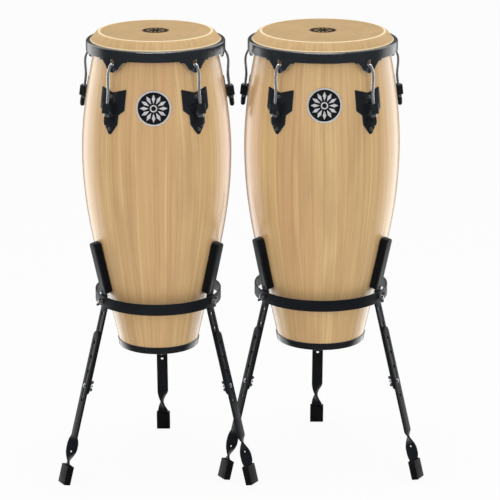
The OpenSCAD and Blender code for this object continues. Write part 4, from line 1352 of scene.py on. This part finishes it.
class CONGA_OT_boots(Maker, bpy.types.Operator):
    """Moulds the rubber boots"""

    bl_idname = "conga.boots"
    bl_label = "Rubber boots"

    def make(self, drum):
        s = stand_sizes()
        end = boot_end(drum)
        for side_name, azimuth in SIDES.items():
            bm = bmesh.new()
            bmesh.ops.create_cube(bm, size=1)
            bmesh.ops.scale(bm, verts=bm.verts, vec=(s.boot_t, s.boot_w, s.boot_h))
            top = [f for f in bm.faces if f.normal.z > 0.9]
            bmesh.ops.inset_region(bm, faces=top, thickness=BOOT_WALL, depth=0)
            bevel(bm, [e for e in bm.edges if e.calc_face_angle(0) > 1], BOOT_EDGE, 3)
            mouth = [f for f in bm.faces if f.normal.z > 0.9 and f.calc_center_median().xy.length < 1 * MM]
            bmesh.ops.inset_region(bm, faces=mouth, thickness=MOUTH_EDGE, depth=-MOUTH_DEEP)
            move(bm, shift(drum.leg_middle, 0, s.boot_h / 2 - end))
            move(bm, drum.on_leg(azimuth))
            cut = bmesh.ops.bisect_plane(bm, geom=bm.verts[:] + bm.edges[:] + bm.faces[:], dist=1e-7,
                                         plane_co=(0, 0, 0), plane_no=(0, 0, -1), clear_outer=True)
            sole = [g for g in cut["geom_cut"] if isinstance(g, bmesh.types.BMEdge)]
            bmesh.ops.contextual_create(bm, geom=sole)
            fix_normals(bm)
            piece(drum, f"foot_{side_name}", bm, material("rubber"), f"leg_{side_name}",
                  f"boot_{side_name}")


BOLT_PITCH = 1 * MM
BOLT_DEPTH = 0.3 * MM
BOLT_CHAMFER = 0.8 * MM
BOLT_FORM = ((0.0, 0), (0.3, 0), (0.55, 1), (0.75, 1))
HEX_R = 5 * MM
HEAD_H = 3.5 * MM


def bolt(start, end, threads_from):
    """A bolt's shank along +X with threads near its end."""
    outline = [(0, start), (BOLT_R, start)]
    for i in range(int((end - threads_from) / BOLT_PITCH) - 1):
        outline += [(BOLT_R - depth * BOLT_DEPTH, threads_from + (i + share) * BOLT_PITCH)
                    for share, depth in BOLT_FORM]
    outline += [(BOLT_R, end - BOLT_CHAMFER), (BOLT_R - BOLT_CHAMFER, end), (0, end)]
    bm = bmesh.new()
    lathe(bm, outline, 24, closed=False)
    move(bm, ALONG_X)
    return bm


class CONGA_OT_bolts(Maker, bpy.types.Operator):
    """Turns the bolts of the rings and legs"""

    bl_idname = "conga.bolts"
    bl_label = "Stand bolts"

    def make(self, drum):
        s = stand_sizes()
        start = drum.bar_face - s.bar_t - HAIR_GAP
        shank = bolt(start - 1 * MM, drum.ring_outer + HUB_H + 3 * MM, drum.ring_outer + 1 * MM)
        head = bmesh.ops.create_cone(shank, cap_ends=True, segments=6, radius1=HEX_R, radius2=HEX_R,
                                     depth=HEAD_H, matrix=shift(start - HEAD_H / 2, 0, 0) @ ALONG_X)
        bevel_sharp(shank, 0.4 * MM, limit=50, faces={f for v in head["verts"] for f in v.link_faces})
        rings = copies(shank, [drum.on_axis(azimuth, drum.ring_z) for azimuth in SIDES.values()])
        piece(drum, "ring_bolt_set", rings, material("zinc"), "root", "ring_bolts")
        shank = bolt(HAIR_GAP, s.bar_t + HUB_H + 4 * MM, s.bar_t + 1 * MM)
        move(shank, turn_z(180))
        face = SLIDE_GAP + s.bar_t + 2 * SEAT_GAP
        dome = bmesh.new()
        lathe(dome, [(0, 0), (4.9 * MM, 0), (4.9 * MM, 0.6 * MM)] + arc(0, -1.4 * MM, 4.8 * MM, 24, 86, 8)
              + [(0, 3.4 * MM)], 32, closed=False)
        move(dome, ALONG_X)
        join(shank, dome, shift(face, 0, 0))
        dome.free()
        legs = copies(shank, [drum.on_leg(azimuth) @ shift(0, 0, -s.leg_bolt_s)
                              for azimuth in SIDES.values()])
        piece(drum, "leg_bolt_set", legs, material("zinc"), "root", "leg_bolts")


WING_SPAN = 25 * MM
WING_T = 2.4 * MM
WING_TIP_R = 4 * MM
WING_ROOT = 3.4 * MM


def wing_nut():
    """A wing nut at x = 0 that points along +X, with its wings along Y."""
    bore = BOLT_R + THREAD_GAP
    bm = bmesh.new()
    lathe(bm, [(bore, 0), (HUB_R - 0.4 * MM, 0), (HUB_R, 0.4 * MM), (HUB_R, 1.6 * MM),
               (4.4 * MM, HUB_H - 0.5 * MM), (4.0 * MM, HUB_H), (bore, HUB_H)], 32)
    move(bm, ALONG_X)
    tip = arc(HUB_H + 1.5 * MM, WING_SPAN / 2 - WING_TIP_R, WING_TIP_R, 150, -60, 12)
    outline = [(1 * MM, WING_ROOT), (1 * MM, HUB_R)] + tip + [(HUB_H - 0.5 * MM, WING_ROOT)]
    for side in (-1, 1):
        wing = bmesh.new()
        face = wing.faces.new([wing.verts.new((x, side * y, -WING_T / 2)) for x, y in outline])
        raise_faces(wing, [face], (0, 0, WING_T))
        fix_normals(wing)
        bevel_sharp(wing, 0.7 * MM, segments=3)
        join(bm, wing)
        wing.free()
    return bm


class CONGA_OT_wing_nuts(Maker, bpy.types.Operator):
    """Casts the wing nuts of the rings and legs"""

    bl_idname = "conga.wing_nuts"
    bl_label = "Wing nuts"

    def make(self, drum):
        s = stand_sizes()
        for side_name, azimuth in SIDES.items():
            ring_nut = wing_nut()
            move(ring_nut, drum.on_axis(azimuth, drum.ring_z) @ shift(drum.ring_outer + SLIDE_GAP, 0, 0)
                 @ Matrix.Rotation(radians(NUT_TURN), 4, "X"))
            piece(drum, f"ring_wing_{side_name}", ring_nut, material("zinc"), f"ring_nut_{side_name}",
                  f"ring_nut_{side_name}")
            leg_nut = wing_nut()
            move(leg_nut, drum.on_leg(azimuth) @ shift(-s.bar_t - SLIDE_GAP, 0, -s.leg_bolt_s)
                 @ turn_z(180) @ Matrix.Rotation(pi / 2, 4, "X"))
            piece(drum, f"leg_wing_{side_name}", leg_nut, material("zinc"), f"leg_nut_{side_name}",
                  f"leg_nut_{side_name}")


class CONGA_OT_hidden_steel(Maker, bpy.types.Operator):
    """Finishes the frame's own pieces that stay: head hoops and backing plates"""

    bl_idname = "conga.hidden_steel"
    bl_label = "Hidden steel"

    def make(self, drum):
        for node, name in (("head_hoop", "zinc"), ("backing_plates", "drum_coat")):
            mesh = frame["nodes"][f"{drum.size}_{node}"].data
            mesh.materials.clear()
            mesh.materials.append(material(name))


# Stage

# Each kind of lamp's place, aim and size, in metres
FRONT_LAMP = ((1.9, -3.2, 1.5), (0, 0, 0.6), (1.6, 1.8))
EDGE_LAMP = ((2.15, 1.45, 0.75), (0.1, 0, 0.55), (1.7, 2.2))
TOP_LAMP = ((0, -0.1, 2.4), (0, 0, 1.0), (1.0, 0.3))
GLINT_LAMP = ((0, -1.0, 2.2), (0, 0, 1.0), (1.2, 0.10))
FLOOR_HALF = 30
FLOOR_GAP = 0.3 * MM
FLOOR_WHITE = 0.92


def area_lamp(name, kind, watts, side=1, drum=None, shines=True):
    """A lamp of one kind on one side, or over one drum. One that doesn't shine leaves no reflection."""
    place, aim = (Vector((side * x, y, z)) for x, y, z in kind[:2])
    if drum:
        place.x = drum.x
        aim.xy = drum.x, drum.y
    lamp = bpy.data.lights.new(name, "AREA")
    lamp.shape = "RECTANGLE"
    lamp.size, lamp.size_y = kind[2]
    lamp.energy = watts
    obj = bpy.data.objects.new(name, lamp)
    obj.location = place
    obj.rotation_euler = (aim - place).to_track_quat("-Z", "Y").to_euler()
    obj.visible_glossy = shines
    bpy.context.scene.collection.objects.link(obj)
    return obj


class CONGA_OT_stage(bpy.types.Operator):
    """Sets the floor, the even light, the lamps and the camera"""

    bl_idname = "conga.stage"
    bl_label = "Stage"

    def execute(self, context):
        stage = context.scene.conga_stage
        self.lay_floor(context)
        self.even_light(context, stage)
        self.hang_lamps(stage)
        self.set_camera(context, stage)
        return {"FINISHED"}

    def lay_floor(self, context):
        bm = bmesh.new()
        bmesh.ops.create_grid(bm, x_segments=1, y_segments=1, size=FLOOR_HALF)
        mesh = bpy.data.meshes.new("floor")
        bm.to_mesh(mesh)
        bm.free()
        floor = bpy.data.objects.new("floor", mesh)
        floor.location.z = -FLOOR_GAP
        context.scene.collection.objects.link(floor)
        mesh.materials.append(self.floor_paint())
        floor.visible_glossy = False

    def hang_lamps(self, stage):
        """Front lamps for everything, edge lamps for one drum each and glint lamps for one rim each."""
        for side in (-1, 1):
            area_lamp(f"front_{side}", FRONT_LAMP, stage.front_power, side, shines=False)
            for size in SIZES:
                lamp = area_lamp(f"edge_{size}_{side}", EDGE_LAMP, stage.edge_power, side, shines=False)
                self.light_only(lamp, size)
        for size in SIZES:
            lamp = area_lamp(f"glint_{size}", GLINT_LAMP, stage.glint_power, drum=Drum(size))
            self.light_only(lamp, f"{size}_rim")
        area_lamp("top", TOP_LAMP, stage.top_power)

    def set_camera(self, context, stage):
        camera = bpy.data.cameras.new("camera")
        camera.lens = stage.lens
        obj = bpy.data.objects.new("camera", camera)
        obj.location = (stage.camera_x, -stage.camera_y, stage.camera_z)
        obj.rotation_euler = (pi / 2 - stage.camera_dip, 0, 0)
        context.scene.collection.objects.link(obj)
        context.scene.camera = obj
        context.scene.view_settings.view_transform = "Standard"

    def light_only(self, lamp, start):
        """Keeps a lamp to the pieces whose names start so, as if nothing else stood in its way."""
        lit = bpy.data.collections.new(f"{lamp.name}_set")
        for obj in bpy.context.scene.objects:
            if obj.name.startswith(start):
                lit.objects.link(obj)
        lamp.light_linking.receiver_collection = lit
        lamp.light_linking.blocker_collection = lit

    def floor_paint(self):
        """White to the camera but for a faint shadow."""
        n = Nodes("floor_paint")
        matt = n.node("BsdfDiffuse", {"Color": (0.9, 0.9, 0.9, 1)}).outputs[0]
        white = n.node("Emission", {"Strength": 1.0}).outputs[0]
        share = n.mul(n.node("LightPath").outputs["Is Camera Ray"], FLOOR_WHITE)
        mixed = n.node("MixShader", {0: share, 1: matt, 2: white}).outputs[0]
        n.tree.links.new(mixed, n.tree.nodes["Material Output"].inputs["Surface"])
        n.tree.nodes.remove(n.shader)
        return n.material

    def even_light(self, context, stage):
        """An even pale world, white to the camera. In gloss it is dim in front, and bright at the back."""
        world = bpy.data.worlds.new("world")
        world.use_nodes = True
        context.scene.world = world
        n = Nodes(tree=world.node_tree)
        path = n.node("LightPath").outputs
        y = n.node("SeparateXYZ", {0: n.node("TexCoord").outputs["Generated"]}).outputs["Y"]
        room = n.ramp(y, 0.10, 0.40, stage.gloss_front, stage.gloss_back)
        for behind in ((0.50, 0.82, 1.0, 1.6), (0.80, 0.90, 1.0, 0.05)):
            room = n.mul(room, n.ramp(y, *behind))
        level = n.pick(path["Is Glossy Ray"], stage.ambient, room)
        level = n.pick(path["Is Transmission Ray"], level, 1.0)
        level = n.pick(path["Is Camera Ray"], level, 1.0)
        background = n.tree.nodes["Background"]
        background.inputs["Color"].default_value = (1, 1, 1, 1)
        n.tree.links.new(level, background.inputs["Strength"])


OPERATORS = (
    CONGA_OT_staves, CONGA_OT_base_bands, CONGA_OT_skins, CONGA_OT_rims, CONGA_OT_hooks,
    CONGA_OT_hook_collars, CONGA_OT_cap_nuts, CONGA_OT_lug_plates, CONGA_OT_lug_screws, CONGA_OT_badges,
    CONGA_OT_stand_rings, CONGA_OT_uprights, CONGA_OT_pads, CONGA_OT_legs, CONGA_OT_boots, CONGA_OT_bolts,
    CONGA_OT_wing_nuts, CONGA_OT_hidden_steel, CONGA_OT_stage)


class CONGA_PT_panel(bpy.types.Panel):
    """Lists the steps that build the drums"""

    bl_label = "Congas"
    bl_idname = "CONGA_PT_panel"
    bl_space_type = "VIEW_3D"
    bl_region_type = "UI"
    bl_category = "Congas"

    def draw(self, context):
        for operator in OPERATORS:
            self.layout.operator(operator.bl_idname)


GROUPS = {
    "conga_drum": CONGA_PG_drum,
    "conga_stand": CONGA_PG_stand,
    "conga_finish": CONGA_PG_finish,
    "conga_stage": CONGA_PG_stage,
}


def register():
    for name, group in GROUPS.items():
        bpy.utils.register_class(group)
        setattr(bpy.types.Scene, name, PointerProperty(type=group))
    for cls in OPERATORS + (CONGA_PT_panel,):
        bpy.utils.register_class(cls)


def unregister():
    for cls in (CONGA_PT_panel,) + OPERATORS[::-1]:
        bpy.utils.unregister_class(cls)
    for name, group in GROUPS.items():
        delattr(bpy.types.Scene, name)
        bpy.utils.unregister_class(group)


def main():
    register()
    for operator in OPERATORS:
        group, name = operator.bl_idname.split(".")
        getattr(getattr(bpy.ops, group), name)()


if __name__ == "__main__":
    main()
